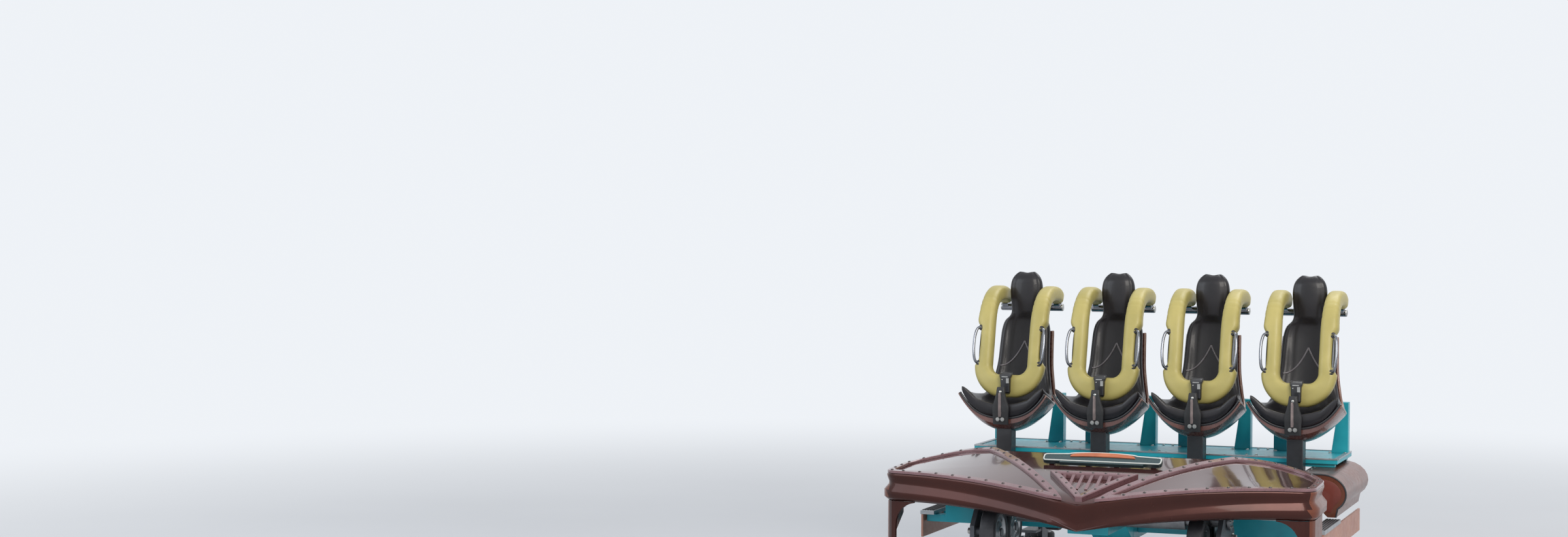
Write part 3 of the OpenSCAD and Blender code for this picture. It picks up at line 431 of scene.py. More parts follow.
# Seats. Columns: y and z of the middle, direction of travel in degrees, half width, thickness, cup depth,
# depth of the shell's belly
SEAT_TABLE = [
    (0.006, 1.117, 0, 0.262, 0.046, 0.134, 0.020), (0.024, 1.117, 0, 0.270, 0.086, 0.134, 0.024),
    (0.110, 1.100, -4, 0.272, 0.074, 0.120, 0.062), (0.260, 1.090, 0, 0.262, 0.076, 0.100, 0.066),
    (0.400, 1.104, 22, 0.232, 0.084, 0.084, 0.040), (0.484, 1.160, 50, 0.222, 0.088, 0.066, 0.016),
    (0.532, 1.240, 70, 0.200, 0.088, 0.050, 0.008), (0.566, 1.380, 78, 0.176, 0.086, 0.036, 0.008),
    (0.590, 1.520, 80, 0.168, 0.084, 0.028, 0.008), (0.606, 1.610, 82, 0.163, 0.082, 0.020, 0.004),
    (0.610, 1.668, 84, 0.146, 0.084, 0.012, 0.000), (0.607, 1.706, 88, 0.112, 0.092, 0.008, 0.000),
    (0.603, 1.745, 92, 0.101, 0.100, 0.008, 0.000), (0.598, 1.810, 92, 0.105, 0.104, 0.008, 0.000),
    (0.598, 1.870, 90, 0.109, 0.102, 0.008, 0.000), (0.599, 1.912, 90, 0.107, 0.096, 0.008, 0.000),
    (0.600, 1.945, 90, 0.099, 0.086, 0.008, 0.000), (0.602, 1.970, 90, 0.085, 0.068, 0.006, 0.000),
    (0.604, 1.988, 90, 0.067, 0.044, 0.004, 0.000), (0.605, 1.998, 90, 0.052, 0.016, 0.002, 0.000)]
CUSHION_RINGS = 96
# The backrest turns into the headrest from this row, over this many
HEAD_ROW, HEAD_ROWS = 10.6, 1.2
# Relief across the cushion: place and width as shares of its half width, and height
BOLSTER, CHANNEL, CREASE = (0.86, 0.16, 0.010), (0, 0.22, -0.006), (0.62, 0.05, -0.005)
HEAD_FIELD, HEAD_SEAM, HEAD_DIP = (0.0, 0.55, 0.006), (0.72, 0.07, -0.005), (0, 0.5, 0.007)
DIP_Z, DIP_OVER = 1.94, 0.06
# Shell: last row, steps across, wall, gap to the cushion, flare of its rim, overhang of its underside
SHELL_LAST, SHELL_COUNT = 9, 36
SHELL_ROWS = [1 + i * (SHELL_LAST - 1) / 56 for i in range(57)]
SHELL_WALL, SHELL_GAP, SHELL_FLARE, SHELL_OUT = 0.016, 0.0013, 0.008, 0.006
# Radius of the rolled edge painted pale as the shell rim's highlight, and of the band under the lip
RIM_HIGHLIGHT_R, BAND_R = 0.0095, 0.0075


def seat_at(t):
    """The seat at one place of its table: point on the middle line and direction off the surface, both in
    side view, half width, thickness, cup depth and belly."""
    y, z, turn, half, thick, deep, belly = spline(SEAT_TABLE, t)
    turn = radians(turn)
    return y + SHIFT, z, -sin(turn), cos(turn), half, thick, deep, belly


def cup(t, u):
    """How the sides rise from the middle: steeply at the horns of the front lip, evenly further back."""
    return abs(u) ** (2 + max(0, 1 - t / 3))


def cushion_ring(t):
    y, z, ny, nz, half, thick, deep, _ = seat_at(t)
    head = ease(t, HEAD_ROW, HEAD_ROWS)
    ring = []
    for u, h in oval(44, 0.62 + 0.16 * head, 0.72 + 0.1 * head):
        lift = deep * cup(t, u)
        if h > 0:
            # Bolsters beside the pan and back with a channel between them, the headrest's raised field inside
            # a seam, then the crease along the bolsters
            lift += (1 - head) * (relief(abs(u), BOLSTER) + relief(u, CHANNEL))
            lift += head * (relief(abs(u), HEAD_FIELD) + relief(abs(u), HEAD_SEAM))
            lift += (1 - head) * relief(abs(u), CREASE)
        n = lift + thick / 2 * h
        # The headrest's top dips between two soft corners
        dip = relief(u, HEAD_DIP) * max(0, (z - DIP_Z) / DIP_OVER)
        ring.append((half * u, y + n * ny, z + n * nz - dip))
    return ring


def cushion_mesh():
    bm = bmesh.new()
    last = len(SEAT_TABLE) - 1
    grid(bm, [cushion_ring(i * last / CUSHION_RINGS) for i in range(CUSHION_RINGS + 1)], caps="strip")
    bmesh.ops.remove_doubles(bm, verts=bm.verts, dist=2 * WELD)
    return finish_mesh(bm, "seat_cushion", 0.9)


def shell_ring(t):
    y, z, ny, nz, half, thick, deep, belly = seat_at(t)
    edge = 1.04 - 0.03 * ease(t, 4, 2)
    across = [-1 + 2 * k / SHELL_COUNT for k in range(SHELL_COUNT + 1)]
    ring = []
    for u in across:
        n = deep * cup(t, edge * u) - thick / 2 - SHELL_GAP + SHELL_FLARE * u ** 8
        ring.append((edge * half * u, y + n * ny, z + n * nz))
    for u in reversed(across):
        n = deep * cup(t, edge * u) - thick / 2 - SHELL_GAP - SHELL_WALL - belly * (1 - u * u)
        ring.append((edge * (half + SHELL_OUT) * u, y + n * ny, z + n * nz))
    return ring


def shell_mesh():
    bm = bmesh.new()
    grid(bm, [shell_ring(t) for t in SHELL_ROWS], caps="strip")
    return finish_mesh(bm, "seat_shell", 0.7)


def shell_highlight_mesh():
    """Rolled edge that runs along both sides of the shell's rim, painted pale as the highlight that catches
    it.
    """
    bm = bmesh.new()
    for end in (0, SHELL_COUNT):
        points = []
        for t in SHELL_ROWS:
            ring = shell_ring(t)
            points.append((Vector(ring[end]) + Vector(ring[2 * SHELL_COUNT + 1 - end])) / 2)
        tube(bm, points, RIM_HIGHLIGHT_R, 10)
    return finish_mesh(bm, "shell_edge", 0.9)


def lip_band_mesh():
    """Black rolled band under the front lip, where the shell ends."""
    bm = bmesh.new()
    front = shell_ring(SHELL_ROWS[0])[:SHELL_COUNT + 1]
    tube(bm, [Vector(p) + Vector((0, -0.002, -0.002)) for p in front], BAND_R, 10)
    return finish_mesh(bm, "lip_band", 0.9)


# Restraint arms: y and z of the middle line, from the hinge over the bend down to the corner
ARM_TABLE = [(0.700, 1.826), (0.640, 1.848), (0.560, 1.856), (0.470, 1.850), (0.380, 1.816), (0.312, 1.752),
             (0.270, 1.660), (0.240, 1.540), (0.216, 1.450), (0.206, 1.402)]
BEND_ROW = 4.5
# Cross bar: its y and height, and the inner radius and height of the corners' centres
BAR_Y, BAR_H, CORNER_IN, CORNER_Z = 0.168, 0.146, 0.060, 1.398
BAR_MIDDLE = ARM_X - ARM_W / 2 - CORNER_IN
ARM_STEPS, CORNER_STEPS, BAR_STEPS = 110, 20, 12
# Folds in the foam at the bend: place in rows, width and share of the depth
FOLD_DEPTH, FOLDS = 0.0035, [(4.35, 0.05, 1), (4.75, 0.05, 0.8), (5.2, 0.06, 0.6)]
# Seam along an arm's inner side, as a place and a width across the section, and its depth
ARM_SEAM = (-0.72, 0.10, 0.0022)
# Grab handle: lower and upper foot, offset from the arm's middle, bow, height over the foam and radius
HANDLE_Z = (1.402, 1.630)
HANDLE_IN, HANDLE_BOW, HANDLE_LIFT, HANDLE_R = 0.022, 0.036, 0.034, 0.009
# Pocket behind it: depth, softness of its ends, and the swollen rim over its upper end
POCKET_DEEP, POCKET_SOFT, RIM_HIGH = 0.030, 0.022, 0.003
# Dark sheet in the pocket, painted shade in its depth: offset from the arm's middle, half width, middle and
# thickness
SHADE_SHEET_IN, SHADE_SHEET_HALF, SHADE_SHEET_MIDDLE, SHADE_SHEET_T = 0.0262, 0.026, 0.010, 0.003


def arm_ring(t, s):
    y, z = spline(ARM_TABLE, t)
    a, b = spline(ARM_TABLE, max(t - 0.05, 0)), spline(ARM_TABLE, min(t + 0.05, len(ARM_TABLE) - 1))
    d = Vector((b[0] - a[0], b[1] - a[1])).normalized()
    # Slimmer towards the hinge with a rounded end, and a little narrower about the bend
    end = max(0, 0.12 - t) / 0.12
    slim = 1 - 0.10 * end ** 2 - 0.14 * max(0, 1 - t / 4) ** 1.5
    narrow = 1 - 0.12 * bell(t, 3.6, 1.6)
    fold = FOLD_DEPTH * sum(relief(t, line) for line in FOLDS)
    pocket = rim = 0
    if t >= BEND_ROW:
        low, high = (z - HANDLE_Z[0] - 0.012) / POCKET_SOFT, (z - HANDLE_Z[1] - 0.014) / POCKET_SOFT
        pocket = 0.5 * (tanh(low) - tanh(high))
        rim = bell(z, HANDLE_Z[1] + 0.045, 0.022)
    ring = []
    for u, h in oval(32, 0.60):
        # u counts outwards, and h from the side that faces the rider to the front
        dent = fold * (0.4 + 0.6 * bell(h, -1, 0.9))
        dent += POCKET_DEEP * pocket * bell(u, 1.0, 0.55) - RIM_HIGH * rim * bell(u, 0.7, 0.5)
        dent += relief(u, ARM_SEAM) if h < 0 else 0
        x = s * (ARM_X + (ARM_W / 2 * slim * narrow - dent) * u)
        q = (PAD_T / 2 * slim - 0.5 * dent) * h
        ring.append((x, y + SHIFT - q * d.y, z + q * d.x))
    return ring


def bar_ring(a, s, x_add=0.0):
    """Section of a corner after a turn by a from the arm; x_add moves it along the cross bar."""
    outer = CORNER_IN + ARM_W + (BAR_H - ARM_W) * (1 - cos(a))
    mid, half = (CORNER_IN + outer) / 2, (outer - CORNER_IN) / 2
    y = ARM_TABLE[-1][0] + (BAR_Y - ARM_TABLE[-1][0]) * sin(a) + SHIFT
    ring = []
    for u, h in oval(32, 0.60):
        out = mid + half * u
        x = s * BAR_MIDDLE + s * out * cos(a) + x_add
        ring.append((x, y + PAD_T / 2 * h, CORNER_Z - out * sin(a)))
    return ring


def pad_mesh():
    bm = bmesh.new()
    arms = [(len(ARM_TABLE) - 1) * i / ARM_STEPS for i in range(ARM_STEPS)]
    quarter = pi / 2
    turns = [quarter * (i + 0.5) / CORNER_STEPS for i in range(CORNER_STEPS)]
    across = [BAR_MIDDLE * (1 - 2 * i / BAR_STEPS) for i in range(1, BAR_STEPS)]
    rings = [arm_ring(t, -1) for t in arms]
    rings += [bar_ring(a, -1) for a in turns + [quarter]]
    rings += [bar_ring(quarter, -1, BAR_MIDDLE - x) for x in across]
    rings += [bar_ring(a, 1) for a in [quarter] + turns[::-1]]
    rings += [arm_ring(t, 1) for t in reversed(arms)]
    grid(bm, rings, caps="fan")
    return finish_mesh(bm, "restraint_pad", 0.9)


def arm_line(z):
    """Place of an arm's middle line at one height, and the direction off its front."""
    for (y0, z0), (y1, z1) in zip(ARM_TABLE, ARM_TABLE[1:]):
        if z1 <= z <= z0:
            y = y0 + (y1 - y0) * (z - z0) / (z1 - z0)
            return y + SHIFT, Vector((0, -1, (y0 - y1) / (z0 - z1))).normalized()
    raise ValueError(z)


def handle_mesh():
    """Bowed chrome grab handles that bridge the pockets in the arms' outer sides."""
    bm = bmesh.new()
    for s in (-1, 1):
        points = []
        for k in range(25):
            f = k / 24
            z = HANDLE_Z[0] + (HANDLE_Z[1] - HANDLE_Z[0]) * (0.5 - 0.5 * cos(pi * f))
            y, normal = arm_line(z)
            bow = sin(pi * f) ** 0.55
            points.append(Vector((s * (ARM_X + HANDLE_IN + HANDLE_BOW * bow), y, z))
                          + normal * (HANDLE_LIFT + HANDLE_BOW * bow))
        tube(bm, points, HANDLE_R, 14)
    return finish_mesh(bm, "handle", 0.9)


def shade_sheet_mesh():
    """Dark sheets at the bottom of the pockets behind the grab handles: painted shade in the recesses."""
    bm = bmesh.new()
    for s in (-1, 1):
        rings = []
        for k in range(15):
            z = HANDLE_Z[0] + 0.022 + (HANDLE_Z[1] - HANDLE_Z[0] - 0.040) * k / 14
            y, normal = arm_line(z)
            reach = SHADE_SHEET_HALF * sin(pi * (k + 0.6) / 15.2) ** 0.4
            low = Vector((s * (ARM_X + SHADE_SHEET_IN), y, z))
            back, front = low + normal * (SHADE_SHEET_MIDDLE - reach), low + normal * (SHADE_SHEET_MIDDLE + reach)
            off = Vector((s * SHADE_SHEET_T, 0, 0))
            rings.append([back, front, front + off, back + off])
        grid(bm, rings, caps="fan")
    return finish_mesh(bm, "pocket_shade", 0.5)


def socket_mesh():
    """Dark grommets where the grab handles enter the pads."""
    bm = bmesh.new()
    profile = [(0.004, 0.012), (0.013, 0.012), (0.018, 0.009), (0.021, 0.002), (0.021, -0.010)]
    for s in (-1, 1):
        for z in HANDLE_Z:
            y, normal = arm_line(z)
            at = Vector((s * (ARM_X + HANDLE_IN), y, z)) + normal * (PAD_T / 2 - 0.014)
            lathe(bm, profile, at, normal, 20)
    return finish_mesh(bm, "socket", 0.6)


# Crotch strap on the front lip: its foot's y, thickness, and how far its band stands off
LIP_Y, STRAP_T, BAND_OFF = 0.006, 0.028, 0.030
# Height, half width and depth of the strap, and height, half width, depth and set-back of the buckle over it
STRAP_TABLE = [(1.030, 0.050, 0.018), (1.090, 0.052, 0.026), (1.128, 0.056, 0.028), (1.148, 0.054, 0.028),
               (1.187, 0.040, 0.028), (1.232, 0.029, 0.027), (1.262, 0.026, 0.024), (1.270, 0.024, 0.018)]
BUCKLE_TABLE = [(1.222, 0.026, 0.020, 0.0), (1.232, 0.030, 0.030, 0.0), (1.285, 0.031, 0.034, 0.0),
                (1.318, 0.033, 0.036, 0.001), (1.336, 0.040, 0.038, 0.004), (1.352, 0.040, 0.034, 0.016),
                (1.358, 0.036, 0.026, 0.030)]
BUCKLE_SINK = 0.010


def strap_mesh():
    """Crotch strap: a tapered moulded post on the front lip."""
    bm = bmesh.new()
    y = LIP_Y - 0.0003 + SHIFT
    grid(bm, [[(half * u, y - deep / 2 + deep / 2 * h, z) for u, h in oval(24, 0.5)]
              for z, half, deep in STRAP_TABLE], caps="fan")
    return finish_mesh(bm, "strap", 0.8)


def strap_fittings_mesh():
    """Rivet at the head of the band and two bolts at the strap's foot."""
    bm = bmesh.new()
    y = LIP_Y - STRAP_T + SHIFT
    rivet(bm, (0, y + 0.002, 1.240), (0, -1, 0.05), 0.010, 0.6)
    for x in (-0.0155, 0.0155):
        bolt(bm, (x, y + 0.001, 1.064), (0, -1, 0), 0.0095)
    return finish_mesh(bm, "strap_fittings", 0.5)


def strap_band_mesh():
    """Narrow pale band down the middle of the strap."""
    bm = bmesh.new()
    y = LIP_Y - BAND_OFF + SHIFT
    line = [(0, y + 0.004, 1.082), (0, y, 1.10), (0, y, 1.16), (0, y + 0.001, 1.21), (0, y + 0.004, 1.232)]
    tube(bm, line, 0.0135, 12, flat=0.22)
    return finish_mesh(bm, "strap_band", 0.9)


def buckle_mesh():
    """Black latch housing on the pad's cross bar, over the strap."""
    bm = bmesh.new()
    front = BAR_Y - PAD_T / 2 + SHIFT
    rings = []
    for z, half, deep, back in BUCKLE_TABLE:
        y, reach = front + back + BUCKLE_SINK, (deep + BUCKLE_SINK) / 2
        rings.append([(half * u, y - reach + reach * h, z) for u, h in oval(24, 0.4)])
    grid(bm, rings, caps="fan")
    return finish_mesh(bm, "buckle", 0.6)


def buckle_steel_mesh():
    """Steel catch, clip and rivets on the housing's front."""
    bm = bmesh.new()
    front = BAR_Y - PAD_T / 2 - 0.036 + SHIFT
    block(bm, (-0.020, front - 0.002, 1.328), (0.020, front + 0.004, 1.334))
    block(bm, (0.010, front - 0.004, 1.290), (0.028, front + 0.006, 1.322))
    for x in (-0.018, 0.018):
        rivet(bm, (x, front + 0.001, 1.312), (0, -1, 0), 0.004, 0.6)
    return finish_mesh(bm, "buckle_steel", 0.5)


# Piping on the backrest: height of its peak and feet, half its spread, bend, radius, and steps of an arm
PIPING_PEAK, PIPING_FOOT, PIPING_HALF = 1.541, 1.378, 0.150
PIPING_BEND, PIPING_R, PIPING_STEPS = 2.1, 0.0058, 20


def piping_mesh(cushion):
    """Inverted V of piping on the backrest, laid on the cushion's surface, in a mid grey that paints the
    highlight along it.
    """
    bm = bmesh.new()
    tree = tree_of(cushion)
    for s in (-1, 1):
        points = []
        for k in range(PIPING_STEPS + 1):
            f = k / PIPING_STEPS
            z = PIPING_FOOT + (PIPING_PEAK - PIPING_FOOT) * (1 - f) ** PIPING_BEND
            at = tree.ray_cast(Vector((s * PIPING_HALF * f, -1, z)), Vector((0, 1, 0)))[0]
            if at is not None:
                points.append(at + Vector((0, -0.001, 0)))
        tube(bm, points, PIPING_R, 8)
    return finish_mesh(bm, "piping", 0.9)


# What every seat has: piece, mesh, material, body, slot and, for some, the CAD node it stands for
SEAT_MESH = cushion_mesh()
SEAT_PIECES = [
    ("cushion", SEAT_MESH, "seat_vinyl", "root", "seat_vinyl", "seat_cushion"),
    ("shell", shell_mesh(), "shell_plastic", "root", "shell_plastic", "seat_shell"),
    ("shell_edge", shell_highlight_mesh(), "edge_plastic", "root", "shell_plastic"),
    ("pad", pad_mesh(), "restraint_foam", "restraint", "restraint_foam", "restraint_pad"),
    ("strap", strap_mesh(), "webbing", "root", "webbing"),
    ("strap_fittings", strap_fittings_mesh(), "bolt_zinc", "root", "restraint_steel"),
    ("buckle", buckle_mesh(), "black_paint", "restraint", "black_paint"),
    ("buckle_steel", buckle_steel_mesh(), "bolt_zinc", "restraint", "restraint_steel"),
    ("handles", handle_mesh(), "restraint_steel", "restraint", "restraint_steel"),
    # Dark sheets of painted shade in the pockets
    ("pocket_liners", shade_sheet_mesh(), "black_paint", "restraint", "black_paint"),
    ("handle_sockets", socket_mesh(), "black_paint", "restraint", "black_paint"),
    ("piping", piping_mesh(SEAT_MESH), "piping_grey", "root", "seat_vinyl"),
    ("lip_band", lip_band_mesh(), "black_paint", "root", "black_paint"),
    ("strap_band", strap_band_mesh(), "strap_band", "root", "webbing"),
]

for i, x in enumerate(SEAT_X, 1):
    place = Matrix.Translation((x, 0, 0))
    for name, mesh, material, body, slot, *nodes in SEAT_PIECES:
        rides = f"restraint_{i}" if body == "restraint" else body
        stands_for = [f"{node}_{i}" for node in nodes]
        piece(f"{name}_{i}", mesh, material, rides, stands_for, place)
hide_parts("belts")


# Wheels: radius, width, bore and bolts of each kind. One mesh per kind, in wheel space with the axle along Z
WHEELS = {"run_wheel": (0.150, 0.092, 0.0261, 8), "guide_wheel": (0.085, 0.060, 0.0201, 6),
          "stop_wheel": (0.090, 0.070, 0.0201, 6)}
HUB_SHARE, BOLTS_SHARE = 0.72, 0.58


def wheel_mesh(kind, radius, width, bore, bolts):
    """Tyre in the first material, both faces of the hub with their bolts in the second."""
    bm = bmesh.new()
    half = width / 2
    hub_r = radius * HUB_SHARE
    tyre = [(hub_r, half - 0.004), (hub_r + 0.006, half), (radius - 0.012, half),
            (radius - 0.003, half - 0.006), (radius, half - 0.016)]
    lathe(bm, [(r, -h) for r, h in tyre] + tyre[::-1], (0, 0, 0), (0, 0, 1), 64)
    tyre_faces = len(bm.faces)
    rim = [(hub_r + 0.001, half - 0.003), (hub_r - 0.008, half - 0.002), (hub_r - 0.012, half - 0.010),
           (hub_r - 0.016, half - 0.018), (radius * 0.44, half - 0.018), (radius * 0.42, half - 0.012),
           (radius * 0.30, half - 0.004), (bore + 0.012, half - 0.003), (bore + 0.010, half + 0.001),
           (bore + 0.001, half + 0.001), (bore + 0.001, 0)]
    for s in (-1, 1):
        lathe(bm, [(r, s * h) for r, h in rim], (0, 0, 0), (0, 0, 1), 48)
        for a in turn_angles(bolts):
            at = (radius * BOLTS_SHARE * cos(a), radius * BOLTS_SHARE * sin(a), s * (half - 0.0185))
            bolt(bm, at, (0, 0, s), radius * 0.045, 0.8)
    for k, face in enumerate(bm.faces):
        face.material_index = 0 if k < tyre_faces else 1
    mesh = finish_mesh(bm, kind, 0.6)
    mesh.materials.append(MATERIALS["wheel_tyre"])
    mesh.materials.append(MATERIALS["hub_metal"])
    return mesh


for kind, sizes in WHEELS.items():
    mesh = wheel_mesh(kind, *sizes)
    # Guide wheels lie flat, the others stand
    turn = Matrix.Identity(4) if kind == "guide_wheel" else Matrix.Rotation(pi / 2, 4, "Y")
    for node in (f"{kind}_{corner}_{end}" for corner in CORNERS for end in ("fore", "aft")):
        low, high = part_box(node)
        piece(node + "_turned", mesh, "wheel_tyre", BODY_OF[node], [node],
              Matrix.Translation((low + high) / 2) @ turn)


# Nose: rivets along the frames, the blank board's rim and its raised middle
def edge_path(inside):
    """The nose's edge in plan, moved inwards, from near the point round to the rear; x is positive."""
    slope = NOSE_SWEEP / NOSE_HALF
    lean = atan(slope)
    corner_x = NOSE_HALF - CORNER_R
    corner_y = -NOSE_REACH + slope * (corner_x + CORNER_R * sin(lean)) + CORNER_R * cos(lean)
    path = [(x + inside * sin(lean), -NOSE_REACH + slope * x + inside * cos(lean))
            for x in (0.12, 1.19)]
    corner = [lean - pi / 2 + (pi / 2 - lean) * k / 6 for k in range(7)]
    tail = [radians(TAIL_TURN) * k / 7 for k in range(8)]
    arcs = (corner_x, corner_y, CORNER_R, corner), (NOSE_HALF - TAIL_R, SIDE_END, TAIL_R, tail)
    for x, y, r, turns in arcs:
        path += [(x + (r - inside) * cos(a), y + (r - inside) * sin(a)) for a in turns]
    return path + PANEL_REAR


def along(path, pitch, start):
    """Points at equal steps along a path, the first one at a length from its start."""
    out, left = [], start
    for (x0, y0), (x1, y1) in zip(path, path[1:]):
        length = hypot(x1 - x0, y1 - y0)
        while left <= length:
            f = left / length
            out.append((x0 + (x1 - x0) * f, y0 + (y1 - y0) * f))
            left += pitch
        left -= length
    return out


def between(a, b, shares):
    """Points at shares of the way from one place to another, in plan."""
    return [(a[0] + (b[0] - a[0]) * f, a[1] + (b[1] - a[1]) * f) for f in shares]


RIVET_PITCH, RIVET_START = 0.1165, 0.012
# Rivets: radius, height as a share of it, and depth in the frame
PANEL_RIVET, GRILLE_RIVET = (0.0105, 0.55, 0.0006), (0.0085, 0.55, 0.0006)
# Places along a panel's inner frame and along a side of the grille, as shares of its length
INNER_SHARES = (0.10, 0.205, 0.308, 0.41, 0.51, 0.612, 0.71, 0.81, 0.905)
GRILLE_SHARES = (0.08, 0.28, 0.5, 0.72, 0.95)
GRILLE_TIP, GRILLE_END, GRILLE_REAR = (0.009, -1.597), (0.226, -1.282), (0.0, 0.075, 0.15)


def add_rivets():
    bm = bmesh.new()
    tree = tree_of(frame["nodes"]["nose_panels"].data)
    outer = along(edge_path(TRIM_IN), RIVET_PITCH, RIVET_START)
    for x, y in outer + between(PANEL_TIP, PANEL_APEX, INNER_SHARES):
        for s in (-1, 1):
            rivet_on(bm, tree, s * x, y + SHIFT, *PANEL_RIVET)
    tree = tree_of(frame["nodes"]["nose_grille"].data)
    for x, y in between(GRILLE_TIP, GRILLE_END, GRILLE_SHARES) + [(x, GRILLE_END[1]) for x in GRILLE_REAR]:
        for s in (-1, 1) if x > 0 else (1,):
            rivet_on(bm, tree, s * x, y + SHIFT, *GRILLE_RIVET)
    trim("nose_rivets", bm, 0.7, "rivet_steel")


# Board: how far behind the point it stands, lean, half width, height and corner radius of its face
PLAQUE_BACK, PLAQUE_LEAN = 0.577, radians(37)
PLAQUE_HALF, PLAQUE_H, PLAQUE_R = 0.356, 0.062, 0.020
# Its foot's height: edge of the nose less the ridge's drop, the hood's rise and sag over the way, and a gap
PLAQUE_Z = 0.747 - 0.018 + 0.36 * PLAQUE_BACK - 0.12 * PLAQUE_BACK * PLAQUE_BACK + 0.027
# Rim: distance in from the face's edge, off the face, its radius, and half width and height of its hump
RIM_IN, RIM_OFF, RIM_R, HUMP_HALF, HUMP_H = 0.006, 0.0015, 0.0040, 0.208, 0.024
# Copper half oval: half width, foot and height on the face, and the narrower top that is off it
OVAL_HALF, OVAL_FOOT, OVAL_H, OVAL_MIDDLE, OVAL_OFF = 0.196, 0.040, 0.038, 0.054, 0.006


def plaque_place(x, v, off):
    """Point on the board's face: across, up the face and off it."""
    y = -NOSE_REACH + PLAQUE_BACK + SHIFT
    return Vector((x, y + v * cos(PLAQUE_LEAN) - off * sin(PLAQUE_LEAN),
                   PLAQUE_Z + v * sin(PLAQUE_LEAN) + off * cos(PLAQUE_LEAN)))


def add_plaque():
    bm = bmesh.new()
    rim = []
    x0, top = PLAQUE_HALF - PLAQUE_R, PLAQUE_H - PLAQUE_R
    for x, v, start in ((x0, PLAQUE_R, -90), (x0, top, 0), (-x0, top, 90), (-x0, PLAQUE_R, 180)):
        for k in range(5):
            a = radians(start + 22.5 * k)
            rim.append((x + (PLAQUE_R - RIM_IN) * cos(a), v + (PLAQUE_R - RIM_IN) * sin(a)))
        if start == 0:
            for a in (pi * k / 16 for k in range(1, 16)):
                rim.append((HUMP_HALF * cos(a), PLAQUE_H - RIM_IN + HUMP_H * sin(a) ** 0.7))
    ring = [plaque_place(x, v, RIM_OFF) for x, v in rim]
    tube(bm, ring + ring[:2], RIM_R, 8)
    trim("plaque_rim", bm, 0.9, "plaque_edge")
    bm = bmesh.new()
    outline = [(OVAL_HALF * cos(a), OVAL_FOOT + OVAL_H * sin(a) ** 0.7)
               for a in (pi * k / 32 for k in range(33))]
    outline += [(-OVAL_HALF * f, OVAL_FOOT + 0.006 * (1 - f * f)) for f in (0.6, 0.2, -0.2, -0.6)]
    low = [plaque_place(x, v, -0.002) for x, v in outline]
    high = [plaque_place(x * 0.985, OVAL_MIDDLE + (v - OVAL_MIDDLE) * 0.93, OVAL_OFF) for x, v in outline]
    grid(bm, [low, high], caps="fan")
    trim("plaque_middle", bm, 0.5, "plaque_copper")


add_rivets()
add_plaque()


# Deck, trays, steps and fenders
EDGE_W, EDGE_H, EDGE_OUT = 0.028, 0.004, 0.003
DECK_SCREWS, TRAY_SCREWS, SCREWS_IN = 25, 23, 0.05
# Bolts of the pylons' feet, from the seat's middle and the deck's front; bolts behind the seats
FOOT_BOLTS = [(-0.285, 0.10), (-0.285, 0.50), (0.285, 0.10), (0.285, 0.50)]
BACK_BOLTS, BACK_BOLTS_Y = (0.125, 0.220), 0.650


def screw_row(bm, count, half, y, z, radius):
    """A row of screws from side to side."""
    for k in range(count):
        x = -half + SCREWS_IN + k * (2 * half - 2 * SCREWS_IN) / (count - 1)
        rivet(bm, (x, y, z), (0, 0, 1), radius, 0.5)


def add_deck_trim():
    bm = bmesh.new()
    y0, y1 = DECK_FRONT + SHIFT, DECK_BACK + SHIFT
    low, high = DECK_Z - EDGE_H, DECK_Z + EDGE_H
    for y in (y0 - EDGE_OUT, y1 - EDGE_W + EDGE_OUT):
        block(bm, (-DECK_HALF, y, low), (DECK_HALF, y + EDGE_W, high))
    for x in (-DECK_HALF - EDGE_OUT, DECK_HALF - EDGE_W + EDGE_OUT):
        block(bm, (x, y0 + EDGE_W, low), (x + EDGE_W, y1 - EDGE_W, high))
    trim("deck_edges", bm, 0.5, "tray_metal")
    bm = bmesh.new()
    screw_row(bm, DECK_SCREWS, DECK_HALF, y0 + EDGE_W / 2, DECK_Z + 0.0035, 0.006)
    for x in SEAT_X:
        for dx, dy in FOOT_BOLTS:
            if abs(x + dx) < DECK_HALF - 0.03:
                bolt(bm, (x + dx * 0.98, y0 + dy, DECK_Z - 0.001), (0, 0, 1), 0.008)
        for s in (-1, 1):
            for dx in BACK_BOLTS:
                bolt(bm, (x + s * dx, BACK_BOLTS_Y + SHIFT, DECK_Z - 0.001), (0, 0, 1), 0.009)
    trim("deck_bolts", bm)


TREADS, TREAD_PITCH, TREAD_HALF = 5, 0.0165, 0.004


def add_tray_trim():
    bm = bmesh.new()
    for y in (TRAY_FRONT + SHIFT + 0.02, TRAY_BACK + SHIFT - 0.02):
        screw_row(bm, TRAY_SCREWS, TRAY_HALF, y, TRAY_Z - 0.0004, 0.007)
    trim("tray_screws", bm, 0.7)
    bm = bmesh.new()
    low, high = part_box("side_steps")
    for s in (-1, 1):
        for k in range(TREADS):
            x = s * (TRAY_HALF + 0.014 + k * TREAD_PITCH)
            block(bm, (x - TREAD_HALF, low.y + 0.02, high.z - 0.0005),
                  (x + TREAD_HALF, high.y - 0.02, high.z + 0.003))
    trim("step_treads", bm, 0.5, "tread_rubber")


# Fender: inner edge, outer side, top and foot, and half width and height of its rounded shoulder
FENDER_IN, FENDER_HALF, FENDER_TOP, FENDER_FOOT = 1.010, 1.285, 0.818, 0.560
SHOULDER_X, SHOULDER_Z = 0.150, 0.118
FENDER_BOLTS_X, FENDER_BOLTS_Z, FENDER_RIVETS_X, FENDER_RIVETS_IN = (1.050, 1.095, 1.140), 0.655, 1.030, 0.06


